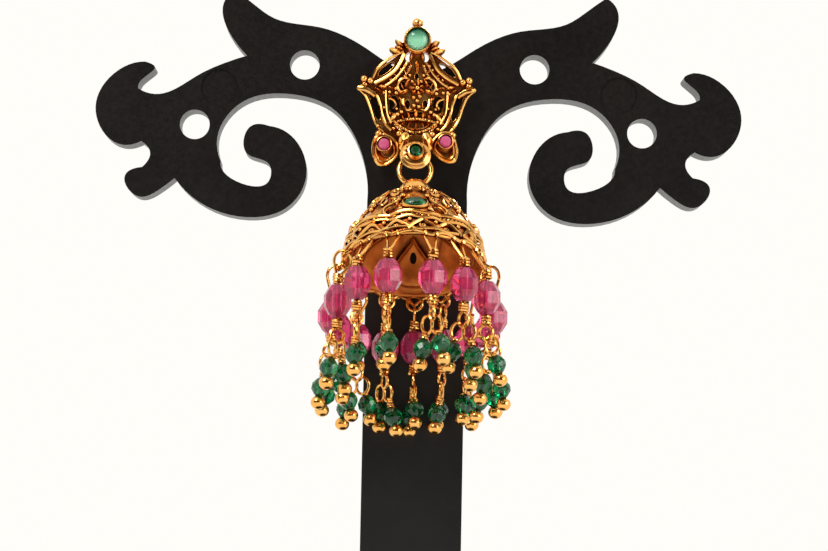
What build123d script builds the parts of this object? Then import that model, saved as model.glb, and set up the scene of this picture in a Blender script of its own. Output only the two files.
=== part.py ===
"""Jhumka earring on a display stand. Millimetres, +Z up, the front faces -Y.

The origin is at the middle of the round base's underside. The earring's stud is pinned through
the top hole of a tree-shaped plastic stand. A ring hangs from the stud, a bell hangs from the ring
and leans on the stand's post, and fifteen beaded strands hang from the bell's rim.
"""

import os
from math import cos, radians, sin

from build123d import *

# ---- stand -------------------------------------------------------------------------------------------
TREE_THICKNESS = 4.0
TREE_FRONT = -TREE_THICKNESS / 2
POST_HALF_WIDTH = 6.7
BASE_DIAMETER = 68.0
BASE_THICKNESS = 5.0
TENON_LENGTH = 4.0
SLOT_GAP = 0.1
STAND_HOLE_DIAMETER = 4.0
CENTRE_HOLE_HEIGHT = 96.4
EJECTOR_MARK = dict(x=26.9, z=97.0, diameter=5.0, depth=0.25)
STAND_HOLES = [dict(x=15.5, z=100.3), dict(x=30.1, z=91.9)]

# Right half of the tree's outline as (distance from the middle, height), one row for each run
# between corners.
TREE_OUTLINE = {
    "saddle": [(0.0, 99.4), (2.8, 100.0), (6.9, 102.5), (13.7, 105.5), (19.8, 106.6)]
    + [(22.9, 108.7), (25.1, 110.3)],
    "horn": [(25.1, 110.3), (26.7, 108.3), (25.6, 104.2), (23.3, 101.4)],
    "shoulder": [(23.3, 101.4), (25.9, 100.5), (29.7, 98.7), (34.6, 96.0), (37.8, 96.6)],
    "hook": [(37.8, 96.6), (37.0, 98.2), (35.7, 99.4), (37.0, 100.3)],
    "head": [(37.0, 100.3), (40.8, 98.9), (43.5, 94.0), (41.2, 89.5), (37.2, 89.5)],
    "bay": [(37.2, 89.5), (36.0, 88.0), (37.0, 86.0)],
    "foot": [(37.0, 86.0), (39.3, 84.0), (37.4, 82.0), (34.6, 83.0), (32.6, 84.6)],
    "belly": [(32.6, 84.6), (29.2, 81.4), (23.1, 79.5), (17.6, 80.8), (15.0, 84.9)]
    + [(16.1, 89.5), (20.1, 91.9)],
    "curl": [(20.1, 91.9), (23.2, 91.0), (23.0, 88.1), (20.0, 86.7), (20.0, 84.4)]
    + [(23.5, 84.0), (26.5, 87.0)],
    "neck": [(26.5, 87.0), (26.5, 92.0), (23.4, 95.3), (17.5, 96.3), (11.7, 94.5)]
    + [(8.4, 90.4), (6.7, 82.0)],
}

# ---- stud --------------------------------------------------------------------------------------------
# The whole earring hangs a little off the stand's middle, as far as its post can move in the hole.
EARRING_SHIFT = -0.4
AIR = 0.15
STUD_BACK = TREE_FRONT - 0.3
STUD_TOP = 106.6
PLATE_THICKNESS = 2.4
PLATE_FRONT = STUD_BACK - PLATE_THICKNESS
EAR_POST_DIAMETER = 0.9
EAR_POST_HEIGHT = CENTRE_HOLE_HEIGHT - (STAND_HOLE_DIAMETER - EAR_POST_DIAMETER) / 2 + AIR
EAR_POST_END = 8.4
NUT_DIAMETER = 6.0
NUT_LENGTH = 3.4
GOLD_WIRE = 0.7
BEZEL_WALL = 0.4
BEZEL_HEIGHT = 0.9
STONE_AIR = 0.06
BOSS_DIAMETER = 4.1
BOSS_THICKNESS = 1.0
NECK_RADIUS = 1.0

# Right half of the stud's plate as (distance from the middle, depth below the stud's top).
STUD_OUTLINE = [(0.0, 0.9), (1.7, 2.4), (2.5, 3.5), (3.6, 5.2), (5.0, 6.7), (6.8, 8.3), (7.8, 9.8)]
STUD_OUTLINE += [(6.7, 10.9)]
STUD_LOWER_OUTLINE = [(6.7, 10.9), (5.7, 13.2), (4.3, 15.2), (5.1, 16.6), (4.7, 18.6), (3.6, 19.9)]
STUD_LOWER_OUTLINE += [(2.2, 18.6)]
# Solid balls of the stud: distance from the middle on both sides, depth below the top, diameter.
GRANULES = [
    dict(x=6.9, down=8.9, size=1.05),
    dict(x=6.2, down=10.0, size=1.0),
    dict(x=4.8, down=15.9, size=1.1),
    dict(x=2.35, down=16.0, size=0.95),
    dict(x=0.95, down=13.6, size=0.95),
    dict(x=2.6, down=7.2, size=1.0),
    dict(x=1.2, down=10.6, size=1.1),
]
# Stones set in the stud's plate: offset to the right, depth below the top, stone diameter.
PLATE_STONES = {
    "top_stone": dict(x=0.0, down=3.1, size=2.9),
    "petal_stone_left": dict(x=-4.2, down=17.3, size=1.8),
    "petal_stone_right": dict(x=4.0, down=16.8, size=1.8),
}
CENTRE_STONE_DIAMETER = 1.6
# Pierced openings of the plate on both sides: distance from the middle, depth below the top, half
# width, half height and lean in degrees.
STUD_OPENINGS = [
    dict(x=1.1, down=5.3, wide=0.45, tall=0.6, lean=0),
    dict(x=4.1, down=6.9, wide=0.36, tall=1.1, lean=48),
    dict(x=1.8, down=9.2, wide=0.42, tall=0.6, lean=0),
    dict(x=5.4, down=12.0, wide=0.4, tall=1.6, lean=-17),
    dict(x=2.9, down=11.9, wide=0.6, tall=1.0, lean=0),
    dict(x=1.2, down=11.9, wide=0.3, tall=0.6, lean=0),
]

# ---- ring and bell -----------------------------------------------------------------------------------
HANG = Vector(EARRING_SHIFT, -6.3, 87.6)
RING_RADIUS = 2.1
RING_LEAN = 18.0
EYE_WIRE = 0.5
STUD_EYE_RADIUS = 1.0
BELL_LEAN = 22.0
BELL_EYE_RADIUS = 1.05
BELL_LENGTH = 12.0
RIM_RADIUS = 9.2
SHELL = 0.6

# Outside of the bell as (radius, distance below the ring's lowest point), from cap to rim.
BELL_CAP = [(0.0, 0.75), (1.6, 0.9), (2.8, 1.6)]
BELL_SIDE = [(2.8, 1.6), (4.1, 2.8), (5.4, 4.0), (6.8, 5.6), (8.0, 7.5), (8.6, 9.2)]
CAP_BOSS = dict(radius=1.9, out=1.6, down=2.35)
WINDOW = dict(down=7.55, tall=1.0, wide=0.95)
WINDOW_ANGLES = [22.5, 67.5, 112.5, 247.5, 292.5, 337.5]
BACK_WINDOW = dict(down=6.9, tall=0.85, wide=0.5)
ROPES = [dict(down=9.1, radius=8.55, wire=0.35), dict(down=11.9, radius=8.95, wire=0.3)]
CURLS = dict(count=8, down=2.1, out=3.3, radius=0.75, wire=0.3)
BELL_STONES = {
    "bell_stone_front": 0.0,
    "bell_stone_right": 90.0,
    "bell_stone_left": 270.0,
}
BELL_STONE = dict(length=2.9, width=1.9, tilt=28.0)
BELL_STONE_SEAT = (7.65, 7.1)
BELL_BEZEL_HEIGHT = 0.7

# ---- strands -----------------------------------------------------------------------------------------
LOOP_WIRE = 0.45
LOOP_AIR = 0.1
RIM_LOOP_RADIUS = 0.98
LOWER_LOOP_RADIUS = 0.95
BEAD_LENGTH = 4.2
BEAD_DIAMETER = 3.6
BEAD_HOLE = 0.9
BEAD_SIDES = 8
STRAND_WIRE = 0.6
WRAP_DIAMETER = 1.5
WRAP_LENGTH = 1.4
DROP_BEAD_DIAMETER = 2.5
DROP_BALL_DIAMETER = 1.9
BALL_SINK = 0.2
DROP_EYE_RADIUS = 0.85
DROP_REACH = 1.45

# One row for each strand, round the rim from the front to the right: its angle, how far its rim
# loop leans out of the bell's axis, its hook's radius, how far its pair of drops is turned from the
# line away from the bell, how far the pair is moved along that line, and the length of bare pin
# above the outer and the inner drop's bead.
STRANDS = [
    dict(angle=13.0, lean=55, hook=1.1, turn=35, shift=0.0, outer=0.7, inner=1.3),
    dict(angle=37.0, lean=55, hook=1.1, turn=26, shift=0.0, outer=1.4, inner=0.8),
    dict(angle=62.0, lean=55, hook=1.15, turn=32, shift=0.0, outer=0.8, inner=1.5),
    dict(angle=86.0, lean=50, hook=1.4, turn=38, shift=0.0, outer=1.5, inner=0.9),
    dict(angle=109.0, lean=45, hook=1.4, turn=30, shift=0.0, outer=0.8, inner=1.5),
    dict(angle=132.0, lean=35, hook=1.2, turn=30, shift=0.0, outer=1.3, inner=0.7),
    dict(angle=155.0, lean=20, hook=1.0, turn=20, shift=-0.9, outer=0.8, inner=1.5),
    dict(angle=178.0, lean=15, hook=1.0, turn=12, shift=-0.9, outer=1.4, inner=0.7),
    dict(angle=201.5, lean=15, hook=1.2, turn=15, shift=-0.9, outer=0.8, inner=1.5),
    dict(angle=225.0, lean=35, hook=1.2, turn=30, shift=0.0, outer=1.4, inner=0.8),
    dict(angle=248.0, lean=45, hook=1.4, turn=26, shift=0.0, outer=0.8, inner=1.4),
    dict(angle=271.0, lean=50, hook=1.45, turn=35, shift=0.0, outer=1.5, inner=0.8),
    dict(angle=294.0, lean=55, hook=1.4, turn=30, shift=0.0, outer=0.9, inner=1.5),
    dict(angle=317.5, lean=55, hook=1.0, turn=38, shift=0.0, outer=1.4, inner=0.8),
    dict(angle=342.0, lean=55, hook=1.0, turn=30, shift=0.0, outer=0.8, inner=1.4),
]

# ---- places worked out from the sizes above ----------------------------------------------------------
RING_DOWN = Vector(0, -sin(radians(RING_LEAN)), -cos(radians(RING_LEAN)))
RING_FRONT = Vector(0, -cos(radians(RING_LEAN)), sin(radians(RING_LEAN)))
RING_CENTRE = HANG + RING_DOWN * RING_RADIUS
RING_BOTTOM = HANG + RING_DOWN * (2 * RING_RADIUS)
BELL_DOWN = Vector(0, -sin(radians(BELL_LEAN)), -cos(radians(BELL_LEAN)))
BELL_FRONT = Vector(0, -cos(radians(BELL_LEAN)), sin(radians(BELL_LEAN)))
BELL_RIGHT = Vector(1, 0, 0)
BELL_AXIS = Axis(RING_BOTTOM, BELL_DOWN)
BOSS_BACK = HANG + RING_DOWN * 0.2 + RING_FRONT * (GOLD_WIRE / 2 + 0.2)
BOSS_PLANE = Plane(origin=BOSS_BACK, x_dir=(1, 0, 0), z_dir=RING_FRONT)


def bell_point(radius, down, angle):
    """Point on the bell: radius from its axis, distance below the ring, angle from the front."""
    return RING_BOTTOM + BELL_DOWN * down + bell_out(angle) * radius


def bell_out(angle):
    """Direction away from the bell's axis at an angle from the front, towards the right."""
    return BELL_FRONT * cos(radians(angle)) + BELL_RIGHT * sin(radians(angle))


def bell_section(angle):
    """Plane through the bell's axis: its x points out at that angle, its y down the axis."""
    return Plane(origin=RING_BOTTOM, x_dir=bell_out(angle), z_dir=bell_out(angle).cross(BELL_DOWN))


def stud_point(x, down, y):
    """Point of the stud from its offset to the right and its depth below the stud's top."""
    return (EARRING_SHIFT + x, y, STUD_TOP - down)


def facing(x, down, y):
    """Plane on the stud's front whose z points forward."""
    return Plane(origin=stud_point(x, down, y), x_dir=(1, 0, 0), z_dir=(0, -1, 0))


def stud_seats():
    """Name, seat plane and diameter of each stone of the stud."""
    seats = [("centre_stone", BOSS_PLANE.offset(BOSS_THICKNESS), CENTRE_STONE_DIAMETER)]
    for name, row in PLATE_STONES.items():
        seats.append((name, facing(row["x"], row["down"], PLATE_FRONT), row["size"]))
    return seats


def finish(builder, name):
    """Label a finished piece and write it to its own file."""
    builder.part.label = name
    export_step(builder.part, f"parts/{name}.step")


# ---- stand -------------------------------------------------------------------------------------------
def make_tree():
    with BuildPart() as tree:
        with BuildSketch(Plane.XZ.offset(-TREE_FRONT)):
            with BuildLine() as outline:
                for points in TREE_OUTLINE.values():
                    Spline(*points)
                Polyline(
                    TREE_OUTLINE["neck"][-1],
                    (POST_HALF_WIDTH, BASE_THICKNESS - TENON_LENGTH),
                    (0, BASE_THICKNESS - TENON_LENGTH),
                    TREE_OUTLINE["saddle"][0],
                )
            make_face()
            mirror(about=Plane.YZ)
        extrude(amount=-TREE_THICKNESS)
        holes = [(0, CENTRE_HOLE_HEIGHT)]
        for row in STAND_HOLES:
            holes += [(row["x"], row["z"]), (-row["x"], row["z"])]
        for x, z in holes:
            with Locations(Location((x, 0, z), (90, 0, 0))):
                Cylinder(STAND_HOLE_DIAMETER / 2, 2 * TREE_THICKNESS, mode=Mode.SUBTRACT)
        mark_y = TREE_FRONT + EJECTOR_MARK["depth"] / 2
        for side in (-1, 1):
            place = Location((side * EJECTOR_MARK["x"], mark_y, EJECTOR_MARK["z"]), (90, 0, 0))
            with Locations(place):
                Cylinder(EJECTOR_MARK["diameter"] / 2, EJECTOR_MARK["depth"], mode=Mode.SUBTRACT)
    finish(tree, "stand_tree")


def make_base():
    with BuildPart() as base:
        with BuildSketch():
            Circle(BASE_DIAMETER / 2)
        extrude(amount=BASE_THICKNESS)
        fillet(base.edges().group_by(Axis.Z)[-1], 1.5)
        with BuildSketch(Plane.XY.offset(BASE_THICKNESS - TENON_LENGTH - SLOT_GAP)):
            Rectangle(2 * (POST_HALF_WIDTH + SLOT_GAP), TREE_THICKNESS + 2 * SLOT_GAP)
        extrude(amount=TENON_LENGTH + 1, mode=Mode.SUBTRACT)
    finish(base, "stand_base")


# ---- stud --------------------------------------------------------------------------------------------
def make_stud():
    with BuildPart() as stud:
        with BuildSketch(facing(0, 0, STUD_BACK)):
            with BuildLine():
                Spline(*[(x, -down) for x, down in STUD_OUTLINE])
                Spline(*[(x, -down) for x, down in STUD_LOWER_OUTLINE])
                Polyline((2.2, -18.6), (0, -18.6), (0, -0.9))
            make_face()
            mirror(about=Plane.YZ)
            for row in STUD_OPENINGS:
                for side in (-1, 1):
                    with Locations(Location((side * row["x"], -row["down"]), side * row["lean"])):
                        Ellipse(row["wide"], row["tall"], mode=Mode.SUBTRACT)
        extrude(amount=PLATE_THICKNESS)
        for row in GRANULES:
            with Locations(
                stud_point(row["x"], row["down"], PLATE_FRONT),
                stud_point(-row["x"], row["down"], PLATE_FRONT),
            ):
                Sphere(row["size"] / 2)
        with Locations(stud_point(0, 0.7, STUD_BACK - 0.8)):
            Sphere(0.8)
        # Lotus leaves: two raised ribs each side that sweep down from the points.
        for inner, outer in (((2.0, 6.9), (6.2, 9.1)), ((2.6, 14.9), (4.8, 11.0))):
            for side in (-1, 1):
                with BuildSketch(facing(0, 0, PLATE_FRONT)):
                    with Locations((side * inner[0], -inner[1]), (side * outer[0], -outer[1])):
                        Circle(0.35)
                    make_hull()
                extrude(amount=0.5)
        # The boss at the bottom stands forward on a neck, with the eye for the ring behind it.
        neck_height = HANG.Z + GOLD_WIRE / 2 + NECK_RADIUS + 3 * AIR
        with BuildSketch(facing(0, STUD_TOP - neck_height, PLATE_FRONT + 0.5)):
            Circle(NECK_RADIUS)
        extrude(amount=PLATE_FRONT - BOSS_PLANE.origin.Y + 0.8)
        with BuildSketch(BOSS_PLANE):
            Circle(BOSS_DIAMETER / 2)
        extrude(amount=BOSS_THICKNESS)
        eye_centre = HANG + Vector(0, 0, STUD_EYE_RADIUS - EYE_WIRE / 2 - GOLD_WIRE / 2 - AIR)
        with Locations(Location(tuple(eye_centre), (0, 90, 0))):
            Torus(STUD_EYE_RADIUS, EYE_WIRE / 2)
        for _, seat, size in stud_seats():
            with BuildSketch(seat):
                Circle(size / 2 + BEZEL_WALL)
            extrude(amount=BEZEL_HEIGHT)
            with BuildSketch(seat):
                Circle(size / 2)
            extrude(amount=BEZEL_HEIGHT, mode=Mode.SUBTRACT)
    finish(stud, "stud_plaque")


def make_ear_post():
    with BuildPart() as post:
        middle = (EARRING_SHIFT, (EAR_POST_END + STUD_BACK) / 2, EAR_POST_HEIGHT)
        with Locations(Location(middle, (90, 0, 0))):
            Cylinder(EAR_POST_DIAMETER / 2, EAR_POST_END - STUD_BACK)
        fillet(post.edges().sort_by(Axis.Y)[-1], EAR_POST_DIAMETER / 4)
    finish(post, "ear_post")


def make_ear_nut():
    """Round clutch that slides up the post behind the stand."""
    front = -TREE_FRONT + 2 * AIR
    with BuildPart() as nut:
        with BuildSketch(Plane.YZ.offset(EARRING_SHIFT)):
            with BuildLine():
                Polyline(
                    (front + NUT_LENGTH, EAR_POST_HEIGHT + EAR_POST_DIAMETER / 2 + AIR),
                    (front, EAR_POST_HEIGHT + EAR_POST_DIAMETER / 2 + AIR),
                    (front, EAR_POST_HEIGHT + NUT_DIAMETER / 2),
                    (front + 0.8, EAR_POST_HEIGHT + NUT_DIAMETER / 2),
                )
                ThreePointArc(
                    (front + 0.8, EAR_POST_HEIGHT + NUT_DIAMETER / 2),
                    (front + 0.9 * NUT_LENGTH, EAR_POST_HEIGHT + 0.36 * NUT_DIAMETER),
                    (front + NUT_LENGTH, EAR_POST_HEIGHT + EAR_POST_DIAMETER / 2 + AIR),
                )
            make_face()
        revolve(axis=Axis((EARRING_SHIFT, 0, EAR_POST_HEIGHT), (0, 1, 0)))
    finish(nut, "ear_nut")


def make_stud_stones():
    """Round domed stones, each a little smaller than the bezel that holds it."""
    for name, seat, size in stud_seats():
        radius = size / 2 - STONE_AIR
        with BuildPart() as gem:
            with BuildSketch(seat.offset(STONE_AIR)):
                Circle(radius)
            extrude(amount=BEZEL_HEIGHT)
            top = gem.faces().filter_by(GeomType.PLANE).sort_by(Axis.Y)[0]
            fillet(top.edges(), 0.4 * radius)
        finish(gem, name)


# ---- ring --------------------------------------------------------------------------------------------
def make_ring():
    ring_plane = Plane(origin=RING_CENTRE, x_dir=(1, 0, 0), z_dir=RING_DOWN.cross(BELL_RIGHT))
    with BuildPart(ring_plane) as ring:
        Torus(RING_RADIUS, GOLD_WIRE / 2)
    finish(ring, "jump_ring")


# ---- bell --------------------------------------------------------------------------------------------
def inward(points, amount):
    """The same run of points, moved towards the bell's axis and its rim."""
    return [(max(r - amount, 0.0), down + amount * (1 - r / RIM_RADIUS)) for r, down in points]


def loop_plane(row):
    """Plane of a rim loop: its x points along the rim, and its y away from the rim."""
    lean = radians(row["lean"])
    away = BELL_DOWN * cos(lean) + bell_out(row["angle"]) * sin(lean)
    along = BELL_DOWN.cross(bell_out(row["angle"]))
    centre = bell_point(RIM_RADIUS - 0.25, BELL_LENGTH, row["angle"]) + away * RIM_LOOP_RADIUS
    return Plane(origin=centre, x_dir=along, z_dir=along.cross(away))


def bell_stone_plane(angle):
    """Seat of a bell stone: its z points out and up from the bell's shoulder."""
    tilt = radians(BELL_STONE["tilt"])
    normal = bell_out(angle) * cos(tilt) - BELL_DOWN * sin(tilt)
    along = BELL_DOWN.cross(bell_out(angle))
    return Plane(origin=bell_point(*BELL_STONE_SEAT, angle), x_dir=along, z_dir=normal)


def make_bell():
    cap_inner = inward(BELL_CAP, SHELL)
    side_inner = inward(BELL_SIDE, SHELL)
    with BuildPart() as bell:
        with BuildSketch(bell_section(90)):
            with BuildLine():
                Polyline(*BELL_CAP)
                Spline(*BELL_SIDE)
                Polyline(BELL_SIDE[-1], (RIM_RADIUS, BELL_LENGTH), (0, BELL_LENGTH), BELL_CAP[0])
            make_face()
        revolve(axis=BELL_AXIS)
        with Locations(bell_point(CAP_BOSS["out"], CAP_BOSS["down"], 0)):
            Sphere(CAP_BOSS["radius"])
        with BuildSketch(bell_section(90)):
            with BuildLine():
                Polyline(*cap_inner)
                Spline(*side_inner)
                Polyline(
                    side_inner[-1],
                    (RIM_RADIUS - SHELL, BELL_LENGTH),
                    (0, BELL_LENGTH),
                    cap_inner[0],
                )
            make_face()
        revolve(axis=BELL_AXIS, mode=Mode.SUBTRACT)
        # Pierced petals between the stones, and a small one at the back.
        windows = [(180.0, BACK_WINDOW)]
        windows += [(angle, WINDOW) for angle in WINDOW_ANGLES]
        for angle, window in windows:
            middle = bell_point(5.5, window["down"], angle)
            with BuildSketch(Plane(origin=middle, x_dir=BELL_DOWN, z_dir=bell_out(angle))):
                Ellipse(window["tall"], window["wide"])
            extrude(amount=6, mode=Mode.SUBTRACT)
        # Rope rings at the shoulder and the rim, and a ring of curls round the cap.
        cross_plane = Plane(origin=RING_BOTTOM, x_dir=BELL_RIGHT, z_dir=BELL_DOWN)
        for rope in ROPES:
            with Locations(cross_plane.offset(rope["down"])):
                Torus(rope["radius"], rope["wire"])
        with Locations(cross_plane.offset(CURLS["down"])):
            with PolarLocations(CURLS["out"], CURLS["count"]):
                Torus(CURLS["radius"], CURLS["wire"])
        # The eye on the cap, and the loops under the rim.
        eye_centre = RING_BOTTOM + BELL_DOWN * (BELL_EYE_RADIUS - EYE_WIRE / 2 - GOLD_WIRE / 2 - AIR)
        with Locations(Plane(origin=eye_centre, x_dir=BELL_DOWN, z_dir=BELL_RIGHT)):
            Torus(BELL_EYE_RADIUS, EYE_WIRE / 2)
        for row in STRANDS:
            with Locations(loop_plane(row)):
                Torus(RIM_LOOP_RADIUS, LOOP_WIRE / 2)
        for angle in BELL_STONES.values():
            seat = bell_stone_plane(angle)
            with BuildSketch(seat.offset(-SHELL)):
                Ellipse(BELL_STONE["length"] / 2 + BEZEL_WALL, BELL_STONE["width"] / 2 + BEZEL_WALL)
            extrude(amount=SHELL + BELL_BEZEL_HEIGHT)
            with BuildSketch(seat):
                Ellipse(BELL_STONE["length"] / 2, BELL_STONE["width"] / 2)
            extrude(amount=BELL_BEZEL_HEIGHT, mode=Mode.SUBTRACT)
    finish(bell, "bell_dome")


def make_bell_stones():
    for name, angle in BELL_STONES.items():
        with BuildPart() as gem:
            half_length = BELL_STONE["length"] / 2 - STONE_AIR
            half_width = BELL_STONE["width"] / 2 - STONE_AIR
            with BuildSketch(bell_stone_plane(angle).offset(STONE_AIR)):
                Ellipse(half_length, half_width)
            extrude(amount=BELL_BEZEL_HEIGHT, taper=12)
        finish(gem, name)


# ---- strands -----------------------------------------------------------------------------------------
def strand_top(row):
    """Middle of the hook's wire where it crosses over the outer end of its rim loop."""
    plane = loop_plane(row)
    return plane.origin + plane.y_dir * RIM_LOOP_RADIUS + Vector(0, 0, LOOP_WIRE + LOOP_AIR)


def strand_plane(row):
    """Plane whose origin is the top of the hook's ring, z up, and x away from the bell."""
    out = bell_out(row["angle"])
    return Plane(origin=strand_top(row), x_dir=(out.X, out.Y, 0), z_dir=(0, 0, 1))


def strand_heights(row):
    """Heights of a strand's pieces, measured up from the top of its hook."""
    heights = dict(hook=-row["hook"])
    heights["wrap"] = heights["hook"] - row["hook"] + LOOP_WIRE / 4
    heights["bead"] = heights["wrap"] - WRAP_LENGTH - LOOP_AIR / 2
    heights["lower_wrap"] = heights["bead"] - BEAD_LENGTH - LOOP_AIR
    heights["loop"] = heights["lower_wrap"] - WRAP_LENGTH - LOWER_LOOP_RADIUS + LOOP_WIRE / 4
    return heights


def make_bead(row, name):
    """Faceted barrel bead: an eight-sided belt between two tapered ends, drilled along its length."""
    radius = BEAD_DIAMETER / 2
    rings = [(0.0, 0.62), (0.32, 1.0), (0.68, 1.0), (1.0, 0.62)]
    plane = strand_plane(row).offset(strand_heights(row)["bead"] - BEAD_LENGTH)
    with BuildPart() as bead:
        for low, high in zip(rings, rings[1:]):
            for part_way, share in (low, high):
                with BuildSketch(plane.offset(part_way * BEAD_LENGTH)):
                    RegularPolygon(radius * share, BEAD_SIDES)
            loft(ruled=True)
        with BuildSketch(plane):
            Circle(BEAD_HOLE / 2)
        extrude(amount=BEAD_LENGTH, mode=Mode.SUBTRACT)
    finish(bead, name)


def drop_places(plane, row):
    """Eye, bead and ball centres of a strand's two drops, and the way each stands off the strand."""
    places = []
    line = plane.x_dir.rotate(Axis((0, 0, 0), (0, 0, 1)), row["turn"])
    foot = plane.origin + Vector(0, 0, strand_heights(row)["loop"] - 0.75 * LOWER_LOOP_RADIUS)
    for sign, bare_pin in ((1, row["outer"]), (-1, row["inner"])):
        across = line * sign
        eye = foot + across * 0.8 - Vector(0, 0, DROP_EYE_RADIUS)
        drop = bare_pin + DROP_BEAD_DIAMETER / 2 + DROP_EYE_RADIUS / 2
        bead = Vector(foot.X, foot.Y, eye.Z - drop) + across * DROP_REACH + plane.x_dir * row["shift"]
        down = (bead - eye).normalized()
        ball = bead + down * ((DROP_BEAD_DIAMETER + DROP_BALL_DIAMETER) / 2 - BALL_SINK)
        places.append(dict(across=across, eye=eye, bead=bead, ball=ball))
    return places


def make_strand(row, name):
    """Gold wire of one strand, with its two small drops: a faceted bead and a ball on each pin."""
    plane = strand_plane(row)
    heights = strand_heights(row)
    foot = heights["lower_wrap"] - WRAP_LENGTH
    with BuildPart() as strand:
        for height, radius in ((heights["hook"], row["hook"]), (heights["loop"], LOWER_LOOP_RADIUS)):
            centre = plane.origin + Vector(0, 0, height)
            with Locations(Plane(origin=centre, x_dir=plane.x_dir, z_dir=plane.y_dir)):
                Torus(radius, LOOP_WIRE / 2)
        with BuildSketch(plane.offset(foot)):
            Circle(STRAND_WIRE / 2)
        extrude(amount=heights["wrap"] - foot)
        for top in (heights["wrap"], heights["lower_wrap"]):
            with BuildSketch(plane.offset(top - WRAP_LENGTH)):
                Circle(WRAP_DIAMETER / 2)
            extrude(amount=WRAP_LENGTH)
        for drop in drop_places(plane, row):
            normal = drop["across"].cross(Vector(0, 0, 1))
            with Locations(Plane(origin=drop["eye"], x_dir=(0, 0, 1), z_dir=normal)):
                Torus(DROP_EYE_RADIUS, LOOP_WIRE / 2)
            rise = drop["eye"] - drop["bead"]
            pin = Plane(origin=drop["bead"], x_dir=drop["across"], z_dir=rise)
            with BuildSketch(pin):
                Circle(LOOP_WIRE / 2)
            extrude(amount=rise.length - DROP_EYE_RADIUS)
            half = DROP_BEAD_DIAMETER / 2
            for height, radius in ((-half, 0.62 * half), (0, half), (half, 0.62 * half)):
                with BuildSketch(pin.offset(height)):
                    RegularPolygon(radius, BEAD_SIDES)
            loft(ruled=True)
            with Locations(drop["ball"]):
                Sphere(DROP_BALL_DIAMETER / 2)
    finish(strand, name)


os.makedirs("parts", exist_ok=True)
make_tree()
make_base()
make_stud()
make_ear_post()
make_ear_nut()
make_stud_stones()
make_ring()
make_bell()
make_bell_stones()
for number, strand_row in enumerate(STRANDS, start=1):
    make_bead(strand_row, f"pink_bead_{number:02d}")
    make_strand(strand_row, f"strand_{number:02d}")
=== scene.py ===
import math
from random import Random

import bmesh
import bpy
from mathutils import Matrix, Vector


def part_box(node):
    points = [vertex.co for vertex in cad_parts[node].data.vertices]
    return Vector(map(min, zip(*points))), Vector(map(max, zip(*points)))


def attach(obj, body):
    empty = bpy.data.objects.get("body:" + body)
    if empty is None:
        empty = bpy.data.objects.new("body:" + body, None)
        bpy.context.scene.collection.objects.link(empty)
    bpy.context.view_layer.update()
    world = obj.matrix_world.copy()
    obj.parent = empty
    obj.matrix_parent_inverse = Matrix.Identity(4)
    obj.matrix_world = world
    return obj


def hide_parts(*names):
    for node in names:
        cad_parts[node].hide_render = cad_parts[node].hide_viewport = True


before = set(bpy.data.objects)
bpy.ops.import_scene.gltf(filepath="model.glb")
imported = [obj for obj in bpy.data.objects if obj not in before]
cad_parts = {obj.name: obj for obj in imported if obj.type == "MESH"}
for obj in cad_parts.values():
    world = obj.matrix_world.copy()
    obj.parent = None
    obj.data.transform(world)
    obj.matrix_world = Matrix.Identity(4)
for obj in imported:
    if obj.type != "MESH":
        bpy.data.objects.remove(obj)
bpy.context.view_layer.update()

# ---- Display stand ------------------------------------------------------------------------
# A flat branching tree of glossy black plastic, moulded 4 mm thick with softly rounded edges
# and hanging holes. Its foot is a tenon, glued into a slot in a round base of the same plastic.
TREE_ROUNDING = 0.00035
BASE_ROUNDING = 0.0002
SHARP_EDGE = 50.0
BLACK = (0.0035, 0.0028, 0.0027, 1)
BLACK_WORN = (0.007, 0.0055, 0.0052, 1)
PLASTIC_GRAIN = 0.0000015


def new_finish(name, colour, **sockets):
    """A finish with one shader, and the values that are the same all over the surface."""
    finish = bpy.data.materials.new(name)
    finish.use_nodes = True
    shader = finish.node_tree.nodes["Principled BSDF"]
    shader.inputs["Base Color"].default_value = colour
    for socket, value in sockets.items():
        shader.inputs[socket.replace("_", " ")].default_value = value
    return finish


def add_node(finish, kind, inputs, **settings):
    """New node of a finish; each input is a plain value or another node's output."""
    tree = finish.node_tree
    node = tree.nodes.new("ShaderNode" + kind)
    for name, value in settings.items():
        setattr(node, name, value)
    for socket, value in inputs.items():
        if isinstance(value, bpy.types.NodeSocket):
            tree.links.new(value, node.inputs[socket])
        else:
            node.inputs[socket].default_value = value
    return node


def add_spot(finish):
    """Place on the piece, in metres."""
    return add_node(finish, "TexCoord", {}).outputs["Object"]


def add_noise(finish, scale, detail=3.0):
    """Noise that stays fixed to the piece; its scale is in cells per metre."""
    inputs = {"Vector": add_spot(finish), "Scale": scale, "Detail": detail}
    return add_node(finish, "TexNoise", inputs).outputs["Fac"]


def add_range(finish, value, low, high, from_low=0.35, from_high=0.65):
    """The value, moved from its own range to another one."""
    inputs = {"Value": value, "From Min": from_low, "From Max": from_high, "To Min": low, "To Max": high}
    return add_node(finish, "MapRange", inputs).outputs["Result"]


def add_mix(finish, value, first, second):
    """Colour between the first and the second; either may be a colour or another node's output."""
    return add_node(finish, "Mix", {"Factor": value, 6: first, 7: second}, data_type="RGBA").outputs[2]


def feed(finish, socket, value):
    """Lead a node's output to the finish's shader."""
    tree = finish.node_tree
    tree.links.new(value, tree.nodes["Principled BSDF"].inputs[socket])


def add_relief(finish, value, height):
    """Fine relief of the given height in metres."""
    bump = add_node(finish, "Bump", {"Distance": height, "Height": value})
    feed(finish, "Normal", bump.outputs["Normal"])


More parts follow.
